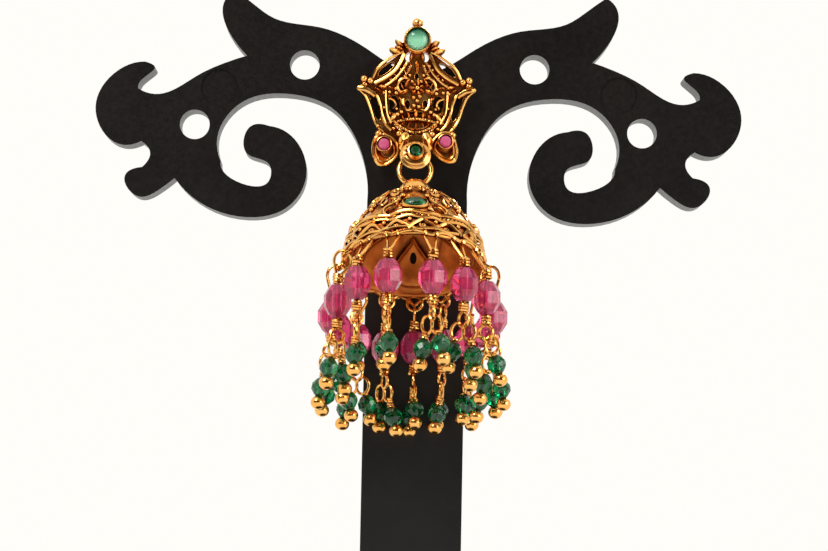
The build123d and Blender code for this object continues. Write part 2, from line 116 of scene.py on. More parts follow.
black_plastic = new_finish("black_plastic", BLACK, Specular_IOR_Level=0.35)
flow = add_range(black_plastic, add_noise(black_plastic, 90.0), 0, 1)
speck = add_noise(black_plastic, 1800.0, 2.0)
feed(black_plastic, "Base Color", add_mix(black_plastic, flow, BLACK, BLACK_WORN))
feed(black_plastic, "Roughness", add_range(black_plastic, speck, 0.3, 0.36))
add_relief(black_plastic, speck, PLASTIC_GRAIN)

for node_name, rounding in (("stand_tree", TREE_ROUNDING), ("stand_base", BASE_ROUNDING)):
    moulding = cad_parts[node_name]
    moulding.data.materials.clear()
    moulding.data.materials.append(black_plastic)
    edge = moulding.modifiers.new("rounded_edge", "BEVEL")
    edge.width = rounding
    edge.segments = 3
    edge.limit_method = "ANGLE"
    edge.angle_limit = math.radians(SHARP_EDGE)
    edge.harden_normals = True

# ---- Stud: its pierced gold plate -----------------------------------------------------------
# The stud has the outline of a lotus. Its back is one gold plate 1.5 mm thick, with its edge
# softened and its openings cut through. Painted shade darkens the gold to red-brown in its hollows.
MM = 0.001
EARRING_SHIFT = -0.4
STUD_TOP = 106.6
STUD_BACK = -2.3
PLATE_THICK = 1.5
PLATE_ROUNDING = 0.07
GOLD = (0.93, 0.45, 0.1, 1)
GOLD_PALE = (0.97, 0.54, 0.16, 1)
# Red-brown of the painted shade that darkens the gold in its hollows.
GOLD_PAINTED_SHADE = (0.27, 0.04, 0.006, 1)
RECESS_REACH = 0.001
GOLD_GRAIN = 0.000012
FORWARD = Vector((0, -1, 0))
ROPE_STEPS = 8
CREASE = 40.0
PAD_RINGS = 3


def add_openness(finish, reach):
    """How open a place is, from 0 in a tight hollow to 1, judged up to reach metres away."""
    return add_node(finish, "AmbientOcclusion", {"Distance": reach}, samples=8).outputs["AO"]


def make_gold(name, roughness, bright=GOLD, hollow=(0.25, 0.9)):
    """Polished gold whose colour darkens to red-brown in tight hollows, as painted shade."""
    finish = new_finish(name, bright, Metallic=1.0)
    cloud = add_noise(finish, 700.0)
    tone = add_mix(finish, add_range(finish, cloud, 0, 1), bright, GOLD_PALE)
    # Painted shade: where ambient occlusion finds a tight hollow, the colour turns red-brown.
    open_air = add_range(finish, add_openness(finish, RECESS_REACH), 0, 1, *hollow)
    feed(finish, "Base Color", add_mix(finish, open_air, GOLD_PAINTED_SHADE, tone))
    feed(finish, "Roughness", add_range(finish, cloud, roughness, roughness + 0.1))
    add_relief(finish, add_noise(finish, 5200.0, 2.0), GOLD_GRAIN)
    return finish


def curve_through(points, steps=6, closed=False):
    """Smooth run of points through the given ones."""
    given = [Vector(p) for p in points]
    last = len(given) if closed else len(given) - 1
    run = []
    for index in range(last):
        ends = []
        for place in range(index - 1, index + 3):
            place = place % len(given) if closed else min(max(place, 0), len(given) - 1)
            ends.append(given[place])
        before, start, end, after = ends
        for step in range(steps):
            t = step / steps
            swing = (end - before) * t + (2 * before - 5 * start + 4 * end - after) * t * t
            run.append(start + 0.5 * (swing + (3 * start - before - 3 * end + after) * t**3))
    if not closed:
        run.append(given[-1])
    return run


def side_ways(path, closed, up=None):
    """Two directions across a path at each point, carried along it or held to a given one."""
    pairs = []
    side = None
    for index in range(len(path)):
        if closed:
            way = (path[(index + 1) % len(path)] - path[index - 1]).normalized()
        else:
            way = (path[min(index + 1, len(path) - 1)] - path[max(index - 1, 0)]).normalized()
        if up is not None:
            side = way.cross(up).normalized()
        elif side is None:
            side = way.orthogonal().normalized()
        else:
            side = (side - way * side.dot(way)).normalized()
        pairs.append((side, side.cross(way)))
    return pairs


def around(middle, side, across, radius, count):
    """Ring of points round a middle, in the plane of two directions."""
    turns = [2 * math.pi * corner / count for corner in range(count)]
    return [middle + radius * (math.cos(turn) * side + math.sin(turn) * across) for turn in turns]


class Work:
    """The shape of one piece, in millimetres, built up from wires, balls and plates."""

    def __init__(self):
        self.points = []
        self.faces = []

    def rows(self, rows, closed=False, joined=True):
        """Skin over rows of points. closed joins the last row to the first, joined each row's ends."""
        base = len(self.points)
        width = len(rows[0])
        for row in rows:
            self.points += [Vector(p) for p in row]
        for r in range(len(rows) if closed else len(rows) - 1):
            for c in range(width if joined else width - 1):
                corners = (r, c), (r, c + 1), (r + 1, c + 1), (r + 1, c)
                self.faces.append([base + (i % len(rows)) * width + j % width for i, j in corners])

    def lid(self, row):
        """Flat face over one row of points."""
        base = len(self.points)
        self.points += [Vector(p) for p in row]
        self.faces.append(list(range(base, base + len(row))))

    def wire(self, path, radius, sides=8, closed=False, flat=1.0, up=None, taper=None):
        """Round wire along a path. flat squashes it along up; taper gives its size along its length."""
        path = [Vector(p) for p in path]
        rows = []
        for index, (side, across) in enumerate(side_ways(path, closed, up)):
            size = radius * (taper(index / (len(path) - 1)) if taper else 1.0)
            rows.append(around(path[index], side, flat * across, size, sides))
        self.rows(rows, closed=closed)
        if not closed:
            self.lid(rows[0])
            self.lid(rows[-1])

    def rope(self, path, radius, pitch, closed=False, up=None):
        """Two wires twisted round a path, with one turn to each pitch."""
        path = [Vector(p) for p in path]
        pairs = side_ways(path, closed, up)
        lengths = [0.0]
        for index in range(1, len(path) + (1 if closed else 0)):
            lengths.append(lengths[-1] + (path[index % len(path)] - path[index - 1]).length)
        count = max(1, round(lengths[-1] / pitch)) * ROPE_STEPS
        for start in (0.0, 0.5):
            coil = []
            for step in range(count if closed else count + 1):
                reach = lengths[-1] * step / count
                index = 0
                while index < len(lengths) - 2 and lengths[index + 1] < reach:
                    index += 1
                share = (reach - lengths[index]) / max(lengths[index + 1] - lengths[index], 1e-6)
                middle = path[index].lerp(path[(index + 1) % len(path)], share)
                side, across = pairs[index]
                angle = 2 * math.pi * (step / ROPE_STEPS + start)
                coil.append(middle + radius * 0.52 * (math.cos(angle) * side + math.sin(angle) * across))
            self.wire(coil, radius * 0.55, sides=6, closed=closed)

    def ball(self, centre, radius, flat=1.0, up=FORWARD, sides=12):
        """Ball, squashed along up."""
        up = up.normalized()
        side = up.orthogonal().normalized()
        rows = []
        for ring in range(sides // 2 + 1):
            lift = math.pi * ring / (sides // 2)
            middle = centre + up * math.cos(lift) * radius * flat
            rows.append(around(middle, side, up.cross(side), math.sin(lift) * radius, sides))
        self.rows(rows)

    def pad(self, outline, middle, up, rise, skirt):
        """Plate with the given outline, domed (or hollowed) by rise, with a side wall skirt deep."""
        rows = [[p - up * skirt for p in outline]]
        for ring in range(PAD_RINGS + 1):
            share = 1 - ring / (PAD_RINGS + 0.001)
            lift = up * rise * (1 - share**2)
            rows.append([middle.lerp(p, share) + lift for p in outline])
        self.rows(rows)
        self.lid(rows[0])


def place_new(name, data):
    """New object in the scene that holds a mesh, a curve, a lamp or a camera."""
    thing = bpy.data.objects.new(name, data)
    bpy.context.scene.collection.objects.link(thing)
    return thing


def make_piece(name, work, finish, body, stands_for=(), crease=CREASE):
    """Turn a finished shape into a piece that rides on a body."""
    mesh = bpy.data.meshes.new(name)
    mesh.from_pydata([p * MM for p in work.points], [], work.faces)
    shape = bmesh.new()
    shape.from_mesh(mesh)
    bmesh.ops.remove_doubles(shape, verts=shape.verts, dist=1e-7)
    bmesh.ops.recalc_face_normals(shape, faces=shape.faces)
    shape.to_mesh(mesh)
    shape.free()
    mesh.shade_smooth()
    mesh.set_sharp_from_angle(angle=math.radians(crease))
    mesh.materials.append(finish)
    piece = place_new(name, mesh)
    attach(piece, body)
    if stands_for:
        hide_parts(*stands_for)
    return piece


def on_stud(x, down, height):
    """Point of the stud: offset to the right, depth below its top, height above its back."""
    return Vector((EARRING_SHIFT + x, STUD_BACK - height, STUD_TOP - down))


def stud_path(points, side=1):
    """Smooth path on the stud through (offset, depth, height) points, mirrored to one side."""
    return curve_through([on_stud(side * x, down, height) for x, down, height in points])


def oval(x, down, height, half_wide, half_tall, turn=0.0, count=12, point=0.0):
    """Oval outline on the stud; turn leans it and point draws its lower end out."""
    ring = []
    lean = math.radians(turn)
    for index in range(count):
        angle = 2 * math.pi * index / count
        u = half_wide * math.sin(angle)
        v = half_tall * math.cos(angle)
        v *= 1 + point * max(0.0, math.cos(angle)) ** 3
        right = u * math.cos(lean) + v * math.sin(lean)
        below = v * math.cos(lean) - u * math.sin(lean)
        ring.append(on_stud(x + right, down + below, height))
    return ring


def cut_plate(work, loops):
    """The stud's flat back plate, with every loop after the first cut through it."""
    sheet = bpy.data.curves.new("cut_plate", "CURVE")
    sheet.dimensions = "2D"
    sheet.fill_mode = "BOTH"
    sheet.extrude = PLATE_THICK / 2
    sheet.bevel_depth = PLATE_ROUNDING
    sheet.offset = -PLATE_ROUNDING
    for loop in loops:
        spline = sheet.splines.new("POLY")
        spline.points.add(len(loop) - 1)
        for point, (x, down) in zip(spline.points, loop):
            point.co = (x, -down, 0, 1)
        spline.use_cyclic_u = True
    pattern = place_new("cut_plate", sheet)
    bpy.context.view_layer.update()
    mesh = pattern.to_mesh()
    base = len(work.points)
    work.points += [on_stud(v.co.x, -v.co.y, PLATE_THICK / 2 + v.co.z) for v in mesh.vertices]
    work.faces += [[base + i for i in p.vertices] for p in mesh.polygons]
    pattern.to_mesh_clear()
    bpy.data.objects.remove(pattern)
    bpy.data.curves.remove(sheet)


def hole_loop(x, down, half_wide, half_tall, turn=0.0, count=18):
    """Oval hole in the plate, as (offset, depth) pairs."""
    lean = math.radians(turn)
    loop = []
    for index in range(count):
        angle = 2 * math.pi * index / count
        u = half_wide * math.cos(angle)
        v = half_tall * math.sin(angle)
        right = u * math.cos(lean) - v * math.sin(lean)
        below = u * math.sin(lean) + v * math.cos(lean)
        loop.append((x + right, down + below))
    return loop


stud = Work()
PLATE_HALF = [
    (1.6, 3.0), (2.1, 4.6), (3.3, 5.6), (4.9, 6.8), (5.9, 8.2), (6.9, 8.7), (7.7, 9.6), (6.5, 10.6),
    (5.9, 12.3), (5.1, 14.3), (4.3, 15.5), (4.9, 16.9), (4.6, 18.4), (3.5, 18.9), (2.2, 17.9), (1.2, 18.3),
]
# Holes of one side: offset, depth, half width, half height and turn.
PLATE_HOLES = [
    (1.1, 5.25, 0.48, 0.66, -8), (4.1, 6.95, 0.4, 1.35, -50), (1.85, 9.2, 0.36, 0.58, 6),
    (5.45, 12.0, 0.48, 1.95, 17), (2.95, 11.7, 0.68, 1.2, 6), (1.2, 11.7, 0.34, 0.62, 0),
    (0.62, 12.85, 0.5, 0.16, 0),
]
MIDDLE_SLIT = (0.0, 7.9, 0.26, 0.42)
outline = PLATE_HALF + [(-x, down) for x, down in reversed(PLATE_HALF)]
edge = curve_through([(x, down, 0) for x, down in outline], 5, closed=True)
loops = [[(p.x, p.y) for p in edge], hole_loop(*MIDDLE_SLIT)]
for side in (-1, 1):
    loops += [hole_loop(side * x, down, wide, tall, side * turn) for x, down, wide, tall, turn in PLATE_HOLES]
cut_plate(stud, loops)

# ---- Stud: ornament on its plate ---------------------------------------------------------------
# Gold wires, twisted ropes, small pressed leaves and balls, soldered on the front of the plate
# as a lotus: its outer leaves, scrolls round a middle flower, and a lens-shaped hollow below it.
THIN_WIRE = 0.2


def stud_wire(points, side, radius, **more):
    """Wire soldered on the stud through (offset, depth, height) points, mirrored to one side."""
    stud.wire(stud_path(points, side), radius, **more)


def stud_leaf(x, down, wide, tall, turn, foot=1.7, top=1.9, rise=0.3, wall=0.8, point=0.3, count=12):
    """Small domed leaf on the stud, from its half width and half height, with one end drawn out."""
    outline = oval(x, down, foot, wide, tall, turn, count, point)
    stud.pad(outline, on_stud(x, down, top), FORWARD, rise, wall)


# Small leaves of one side: offset, depth, turn and half length.
FIELD_LEAVES = [(2.9, 7.75, -58, 0.6), (1.55, 7.35, -35, 0.5), (3.45, 9.45, -75, 0.5)]
FIELD_LEAVES += [(5.15, 9.75, -70, 0.5), (3.55, 12.9, -20, 0.45)]
# Balls of one side: offset, depth, height and radius. The knobs at the points come first.
SIDE_BALLS = [
    (7.05, 8.4, 1.7, 0.52), (6.2, 8.65, 1.8, 0.46), (6.95, 9.1, 1.6, 0.44), (2.2, 15.75, 1.9, 0.46),
    (4.95, 15.8, 1.8, 0.52), (4.2, 15.9, 1.7, 0.4), (2.85, 8.25, 1.7, 0.32), (1.65, 6.5, 1.7, 0.26),
    (2.15, 7.0, 1.7, 0.22), (0.62, 8.6, 1.7, 0.22), (2.75, 9.6, 1.7, 0.26), (2.7, 10.2, 1.75, 0.28),
    (3.6, 10.1, 1.75, 0.24), (1.95, 12.75, 1.75, 0.28), (2.6, 12.35, 1.75, 0.2), (2.45, 13.1, 1.75, 0.3),
    (0.95, 7.75, 1.7, 0.22), (3.5, 8.35, 1.7, 0.22), (4.35, 10.2, 1.7, 0.24), (4.3, 12.2, 1.7, 0.2),
    (5.1, 14.7, 1.7, 0.26), (2.95, 15.0, 1.7, 0.28),
]
for side in (-1, 1):
    # Thin outer frame wire, the ridge inside it, and a second ridge beside the middle field.
    frame_wire = [(1.9, 4.6, 1.7), (2.9, 5.1, 1.9), (4.2, 5.95, 2.0), (5.3, 7.0, 1.9), (5.9, 8.2, 1.7)]
    ridge = [(1.75, 4.9, 1.7), (2.65, 6.85, 1.9), (4.0, 8.1, 2.0), (5.6, 8.95, 1.8)]
    stud_wire(frame_wire, side, THIN_WIRE)
    stud_wire(ridge, side, 0.27, flat=1.2, up=FORWARD)
    stud_wire([(1.3, 6.0, 1.6), (2.2, 7.5, 1.75), (3.4, 8.75, 1.8), (4.6, 9.5, 1.6)], side, THIN_WIRE)
    small_rope = stud_path([(0.75, 6.3, 1.6), (1.25, 7.3, 1.8), (1.7, 8.1, 1.7)], side)
    stud.rope(small_rope, THIN_WIRE, 0.6, up=FORWARD)
    # Pointed leaves at the shoulders of the top setting.
    for x, down, turn, size in ((2.3, 3.5, 126, 0.72), (2.8, 4.55, 110, 0.86), (2.3, 4.1, 108, 0.62)):
        stud_leaf(side * x, down, size * 0.58, size, side * turn, rise=0.4, wall=0.9, point=0.22)
    # Pale drop-shaped pieces below the top setting, each over the edge of an opening.
    stud_leaf(side * 0.72, 5.0, 0.26, 0.7, side * 16, wall=0.6)
    # Long lotus leaf: a wire round its opening, folded over at the point.
    outer = [(7.95, 9.6, 1.8), (6.85, 10.6, 1.6), (6.2, 12.1, 1.5), (5.65, 13.8, 1.5), (4.95, 14.95, 1.6)]
    inner = [(7.95, 9.6, 1.8), (6.5, 9.9, 1.8), (5.4, 10.5, 1.8), (4.85, 11.8, 1.7), (4.6, 13.0, 1.7)]
    stud_wire(outer + [(4.3, 15.5, 1.7)], side, 0.19)
    stud_wire(inner + [(4.0, 14.5, 1.7), (3.3, 15.3, 1.8)], side, 0.22)
    fold = [(7.8, 9.65, 1.9), (7.0, 9.75, 2.1), (6.2, 10.1, 2.0), (5.5, 10.6, 1.9)]
    stud_wire(fold, side, 0.34, flat=0.7, up=FORWARD)
    stud_wire([(4.15, 9.9, 1.6), (4.1, 11.4, 1.75), (3.9, 13.0, 1.8), (3.3, 14.3, 1.8)], side, 0.17)
    # Scrolls beside the middle flower, with leaves in them.
    scroll = [(1.2, 8.2, 1.6), (1.75, 8.15, 1.9), (2.35, 8.65, 1.9), (2.55, 9.4, 1.8), (2.1, 10.1, 1.7)]
    stud_wire(scroll, side, THIN_WIRE)
    stud_leaf(side * 1.3, 8.75, 0.26, 0.62, side * 28, top=1.95)
    stud_leaf(side * 2.0, 9.15, 0.17, 0.62, side * -25, foot=1.75, rise=0.2, wall=0.7, count=10)
    stud_leaf(side * 1.75, 9.95, 0.3, 0.7, side * 68)
    # Curls and rims of the openings below them.
    curl = [(1.75, 11.0, 1.6), (1.65, 11.9, 1.8), (1.2, 12.5, 1.8), (0.7, 12.3, 1.6)]
    stud_wire(curl, side, 0.17, sides=6)
    stud_leaf(side * 2.05, 11.2, 0.24, 0.6, side * -20, foot=1.65, top=1.85)
    stud.wire(oval(side * 2.95, 11.7, 1.6, 0.85, 1.38, side * -6, 24), 0.14, closed=True, sides=6)
    curl = [(3.75, 10.9, 1.6), (3.05, 11.2, 1.8), (2.75, 11.8, 1.8), (3.1, 12.3, 1.7)]
    stud_wire(curl, side, 0.13, sides=6)
    stud_leaf(side * 3.05, 13.55, 0.42, 0.8, side * 38, top=1.8)
    # Leaves, grains and knobs over the field.
    stud_leaf(side * 4.55, 9.35, 0.62, 0.36, side * 12, wall=0.6, point=0.0)
    for x, down, turn, size in FIELD_LEAVES:
        stud_leaf(side * x, down, size * 0.4, size, side * turn, foot=1.6, top=1.8, rise=0.25, wall=0.6)
    for x, down, height, size in SIDE_BALLS:
        stud.ball(on_stud(side * x, down, height), size)

# Bright stem above the slit, the middle flower, grains below it, and the leaves over the lens.
FLOWER_SPOT = (0.12, 9.45)
FLOWER_REACH = 0.62
FLOWER_PETALS = 7
FLOWER_STEP = 51.4
FLOWER_START = 12
LEAVES_OVER_LENS = [
    (-1.75, 13.5, 0.4), (-0.95, 13.3, 0.5), (0, 13.05, 0.62), (0.95, 13.3, 0.5), (1.75, 13.5, 0.4),
]
stud_leaf(0, 6.6, 0.26, 0.85, 0, top=2.0, rise=0.35, wall=0.6, point=0.2)
stud.ball(on_stud(*FLOWER_SPOT, 1.7), 0.34, flat=0.8)
for petal in range(FLOWER_PETALS):
    turn = FLOWER_STEP * petal + FLOWER_START
    x = FLOWER_SPOT[0] + FLOWER_REACH * math.sin(math.radians(turn))
    down = FLOWER_SPOT[1] + FLOWER_REACH * math.cos(math.radians(turn))
    stud_leaf(x, down, 0.27, 0.4, turn, foot=1.6, top=1.8, rise=0.25, wall=0.7, point=0.2, count=10)
for x, down in ((-0.35, 10.75), (0.45, 10.6), (0.1, 11.2), (-0.3, 11.85), (0.35, 12.0)):
    stud.ball(on_stud(x, down, 1.65), 0.27)
for x, down, size in LEAVES_OVER_LENS:
    stud_leaf(x, down, size * 0.62, size, 180 - 12 * x, top=1.95)

# Lens-shaped hollow with a fan of leaves in it, under one rope and over two.
for drop, height in ((0.0, 2.0), (0.55, 1.9)):
    end = (3.0 - drop * 0.4, 14.0 + drop * 0.7)
    sag = [(-end[0], end[1]), (-1.6, 15.1 + drop), (0, 15.55 + drop), (1.6, 15.1 + drop), end]
    stud.rope(stud_path([(x, down, height) for x, down in sag]), THIN_WIRE, 0.6, up=FORWARD)
upper = [(-2.6, 14.1, 1.8), (-1.3, 13.8, 1.9), (0, 13.7, 2.0), (1.3, 13.8, 1.9), (2.6, 14.1, 1.8)]
stud.rope(stud_path(upper), THIN_WIRE, 0.7, up=FORWARD)
lower = [(-2.3, 14.05, 1.6), (-1.2, 14.85, 1.7), (0, 15.0, 1.7), (1.2, 14.85, 1.7), (2.3, 14.05, 1.6)]
stud_wire(lower, 1, 0.17)
for x, turn in ((-1.7, 142), (-0.95, 160), (0.0, 180), (0.95, 200), (1.7, 218)):
    down = 14.45 - 0.06 * x * x
    stud_leaf(x, down, 0.2, 0.62, turn, foot=1.65, top=1.85, rise=0.25, wall=0.6, count=10)

# ---- Stud: petals, settings and boss -----------------------------------------------------------
# Two hollow petals, a closed gold setting for each stone, and a stepped round boss on a neck,
# which stands in front of the eye that the jump ring hangs in. All are soldered to the plate.
PETALS = {
    "petal_stone_left": dict(x=-4.2, down=17.3, edge=[
        (-5.2, 16.2), (-5.6, 17.3), (-5.55, 18.6), (-4.9, 19.8), (-3.9, 19.9),
        (-2.8, 19.0), (-2.3, 18.0), (-2.8, 16.7), (-4.0, 16.0),
    ]),
    "petal_stone_right": dict(x=4.0, down=16.8, edge=[
        (4.8, 15.8), (5.3, 16.9), (5.5, 18.2), (5.2, 19.2), (4.3, 19.4),
        (3.1, 18.7), (2.1, 17.4), (2.6, 16.3), (3.7, 15.5),
    ]),
}
# Each petal has a raised edge, a hollow inside it and a thin rib.
for row in PETALS.values():
    rim = curve_through([on_stud(x, down, 1.9) for x, down in row["edge"]], 5, closed=True)
    stud.wire(rim, 0.23, closed=True)
    middle = on_stud(row["x"], row["down"] + 0.9, 1.3)
    stud.pad([p + FORWARD * -0.3 for p in rim], middle, FORWARD, -0.15, 0.8)
    stud.wire([middle.lerp(p, 0.74) + FORWARD * 0.3 for p in rim], 0.13, closed=True, sides=6)
# Pale flat leaves that lie over the boss on both sides.
for side in (-1, 1):
    stud_leaf(side * 1.55, 16.65, 0.68, 1.15, side * 16, 2.2, 2.4, rise=0.25, wall=1.4, point=0.2, count=14)


def seat_place(origin, normal, along=(1, 0, 0)):
    """Frame of a stone's seat: its z points out of the metal and its x along the stone."""
    z = Vector(normal).normalized()
    x = Vector(along)
    x = (x - z * x.dot(z)).normalized()
    place = Matrix((x, z.cross(x), z)).transposed().to_4x4()
    place.translation = Vector(origin)
    return place


def ring_row(place, half_long, half_wide, height=0.0, count=28):
    """Oval row of points round a seat."""
    row = []
    for index in range(count):
        angle = 2 * math.pi * index / count
        row.append(place @ Vector((half_long * math.cos(angle), half_wide * math.sin(angle), height)))
    return row


def add_setting(work, place, half_long, half_wide, wall, height):
    """Closed setting: a collar with its top rubbed over the stone, and a floor."""
    section = [(wall, -0.4), (wall + 0.05, 0.0), (wall, height - 0.22), (wall * 0.7, height - 0.03)]
    section += [(wall * 0.3, height), (0.02, height - 0.12), (0.0, height - 0.3), (0.0, 0.0)]
    work.rows([ring_row(place, half_long + out, half_wide + out, up) for out, up in section])
    work.lid(ring_row(place, half_long, half_wide))


PLATE_FRONT = 2.4
SETTING_HEIGHT = 0.9
HANG = Vector((EARRING_SHIFT, -6.3, 87.6))
LEAN = math.radians(18)
RING_DOWN = Vector((0, -math.sin(LEAN), -math.cos(LEAN)))
RING_FRONT = Vector((0, -math.cos(LEAN), math.sin(LEAN)))
BOSS_BACK = HANG + RING_DOWN * 0.2 + RING_FRONT * 0.55
SETTINGS = {
    "top_stone": (seat_place(on_stud(0, 3.1, PLATE_FRONT), FORWARD), 1.5, 0.32),
    "centre_stone": (seat_place(BOSS_BACK + RING_FRONT, RING_FRONT), 0.8, 0.3),
}
for name, row in PETALS.items():
    SETTINGS[name] = (seat_place(on_stud(row["x"], row["down"], PLATE_FRONT), FORWARD), 0.9, 0.17)
for name, (place, radius, wall) in SETTINGS.items():
    add_setting(stud, place, radius, radius, wall, SETTING_HEIGHT)
    post = [(radius + wall, -0.3), (radius + wall * 0.6, -0.8), (radius * 0.9, -1.9)]
    if name != "centre_stone":
        stud.rows([ring_row(place, reach, reach, up) for reach, up in post])
# Ball on a collar above the top stone.
stud.ball(on_stud(0, 0.75, 1.9), 0.75)
stud.wire(oval(0, 1.42, 2.1, 0.55, 0.12, count=14), 0.14, closed=True, sides=6)

# The boss leans with the ring. Grains stand round the upper part of its stone.
BOSS_STEPS = [(0.0, 0.0), (1.8, 0.0), (2.0, 0.06), (2.05, 0.2), (1.92, 0.32), (1.62, 0.38), (1.5, 0.5)]
BOSS_STEPS += [(1.56, 0.6), (1.72, 0.68), (1.74, 0.82), (1.6, 0.94), (1.2, 1.0)]
GRAINS = 14
GRAIN_CIRCLE = 1.35
NECK_RADIUS = 1.0
NECK_DOWN = 17.2
EYE_RADIUS = 1.0
EYE_WIRE = 0.25
RING_WIRE = 0.35
EYE_AIR = 0.15
boss_place = seat_place(BOSS_BACK, RING_FRONT)
stud.rows([ring_row(boss_place, reach, reach, up, 40) for reach, up in BOSS_STEPS])
for index in range(GRAINS):
    angle = 2 * math.pi * (index + 0.5) / GRAINS
    if math.sin(angle) > -0.3:
        spot = Vector((GRAIN_CIRCLE * math.cos(angle), GRAIN_CIRCLE * math.sin(angle), 1.0))
        stud.ball(boss_place @ spot, 0.22, sides=8)
# The neck runs from the plate to the boss, with two ropes round it, and the eye is below it.
neck_end = BOSS_BACK + RING_FRONT * 0.35 + Vector((0, 0, 1.75))
neck = curve_through([on_stud(0, NECK_DOWN, height) for height in (1.6, 2.4, 3.4)] + [neck_end])
stud.wire(neck, NECK_RADIUS, sides=20, taper=lambda t: 1.0 - 0.15 * math.sin(math.pi * t))
for share in (0.35, 0.62):
    middle = seat_place(neck[int(share * (len(neck) - 1))], FORWARD)
    stud.rope(ring_row(middle, 0.98, 0.98, count=24), 0.16, 0.5, closed=True, up=FORWARD)
eye_middle = HANG + Vector((0, 0, EYE_RADIUS - EYE_WIRE - RING_WIRE - EYE_AIR))
eye_place = seat_place(eye_middle, (1, 0, 0), (0, 0, 1))
stud.wire(ring_row(eye_place, EYE_RADIUS, EYE_RADIUS), EYE_WIRE, closed=True)
stud_gold = make_gold("stud_gold", 0.14, hollow=(0.4, 0.97))
make_piece("stud_lotus", stud, stud_gold, "stand", ["stud_plaque"])

# ---- Stud: its stones ------------------------------------------------------------------------
# Small glass stones with cut tops, sitting on polished gold in closed settings: a pale mint one
# at the top, two pink ones in the petals and an emerald one in the boss.
MINT = (0.4, 0.9, 0.58, 1)
MINT_DEEP = (0.02, 0.22, 0.11, 1)
MINT_SHADE = (0.1034, 0.1046)
PINK = (0.93, 0.15, 0.35, 1)
PETAL_PINK = (0.95, 0.24, 0.43, 1)
EMERALD = (0.006, 0.42, 0.12, 1)
EMERALD_DEEP = (0.001, 0.09, 0.03, 1)
SETTING_ROOM = 0.04
STONE_LIFT = 0.06
STONE_HEIGHT = 0.95
STONE_SIDES = 12
FACETED = 2.0
GLASS_GRAIN = 0.000003


def add_height(finish):
    """Height of a place on the piece, in metres."""
    return add_node(finish, "SeparateXYZ", {"Vector": add_spot(finish)}).outputs["Z"]


def make_glass(name, light, deep, transmission, roughness=0.03, swirl=900.0, shade=None):
    """Coloured glass with cloudy streaks of a deeper colour; with shade, painted shade replaces the streaks
    and deepens it between two heights, darker above.
    """
    finish = new_finish(name, light, Transmission_Weight=transmission, IOR=1.5, Coat_Weight=0.1)
    colour = add_mix(finish, add_range(finish, add_noise(finish, swirl, 4.0), 0, 1, 0.3, 0.7), light, deep)
    if shade:
        colour = add_mix(finish, add_range(finish, add_height(finish), 0, 1, *shade), light, deep)
    feed(finish, "Base Color", colour)
    fine = add_noise(finish, 6000.0, 2.0)
    feed(finish, "Roughness", add_range(finish, fine, roughness, roughness + 0.05))
    add_relief(finish, fine, GLASS_GRAIN)
    return finish


# The mint stone is pale low down and deep green above a given height: painted shade.
mint_glass = make_glass("mint_glass", MINT, MINT_DEEP, 0.45, shade=MINT_SHADE)
pink_glass = make_glass("pink_glass", PETAL_PINK, PINK, 0.5)
emerald_glass = make_glass("emerald_glass", EMERALD, EMERALD_DEEP, 0.85)
STUD_GLASS = {
    "top_stone": (mint_glass, "mint_glass"),
    "centre_stone": (emerald_glass, "emerald_glass"),
    "petal_stone_left": (pink_glass, "pink_glass"),
    "petal_stone_right": (pink_glass, "pink_glass"),
}
# Rings of a cut stone, from its back to its table: size, height and half facets turned.
STONE_RINGS = [(0.9, 0.0, 0), (1.0, 0.3, 0), (1.0, 0.45, 0), (0.82, 0.8, 0.5), (0.55, 1.0, 0)]


def add_gem(work, place, half_long, half_wide, sides, height):
    """Cut stone: a flat back, a girdle, slanting facets in two rows and a flat table."""
    rows = []
    for reach, up, shift in STONE_RINGS:
        row = []
        for corner in range(sides):
            angle = 2 * math.pi * (corner + shift) / sides
            along = half_long * reach * math.cos(angle)
            across = half_wide * reach * math.sin(angle)
            row.append(place @ Vector((along, across, STONE_LIFT + up * height)))
        rows.append(row)
    work.rows(rows)
    work.lid(rows[0])
    work.lid(rows[-1])


for name, (place, radius, wall) in SETTINGS.items():
    gem = Work()
    glass, slot = STUD_GLASS[name]
    add_gem(gem, place, radius - SETTING_ROOM, radius - SETTING_ROOM, STONE_SIDES, STONE_HEIGHT)
    make_piece(name + "_cut", gem, glass, "stand", [name], crease=FACETED)

# ---- Ear post and nut -------------------------------------------------------------------------
# A straight gold pin behind the stud, through the stand's middle hole, held by a turned friction
# nut with a grooved side. Both are plain, and hidden when the earring is looked at from the front.
NUT_START = 2.3
NUT_TURNING = [
    (0.62, 0.0), (2.7, 0.0), (2.95, 0.12), (3.0, 0.3), (3.0, 0.8), (2.8, 0.9), (2.74, 1.0), (2.86, 1.15),
    (2.8, 1.5), (2.62, 1.62), (2.56, 1.75), (2.6, 1.9), (2.35, 2.5), (1.9, 3.0), (1.2, 3.3), (0.72, 3.4),
    (0.62, 3.3), (0.62, 0.0),
]
post_gold = make_gold("post_gold", 0.2)
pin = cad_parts["ear_post"]
pin.data.materials.clear()
pin.data.materials.append(post_gold)
pin.data.shade_smooth()
pin.data.set_sharp_from_angle(angle=math.radians(CREASE))
low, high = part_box("ear_post")
post_height = (low.z + high.z) / 2 / MM
nut_place = seat_place((EARRING_SHIFT, NUT_START, post_height), (0, 1, 0))
nut = Work()
nut.rows([ring_row(nut_place, reach, reach, up, 48) for reach, up in NUT_TURNING])
make_piece("ear_nut_turned", nut, post_gold, "stand", ["ear_nut"])

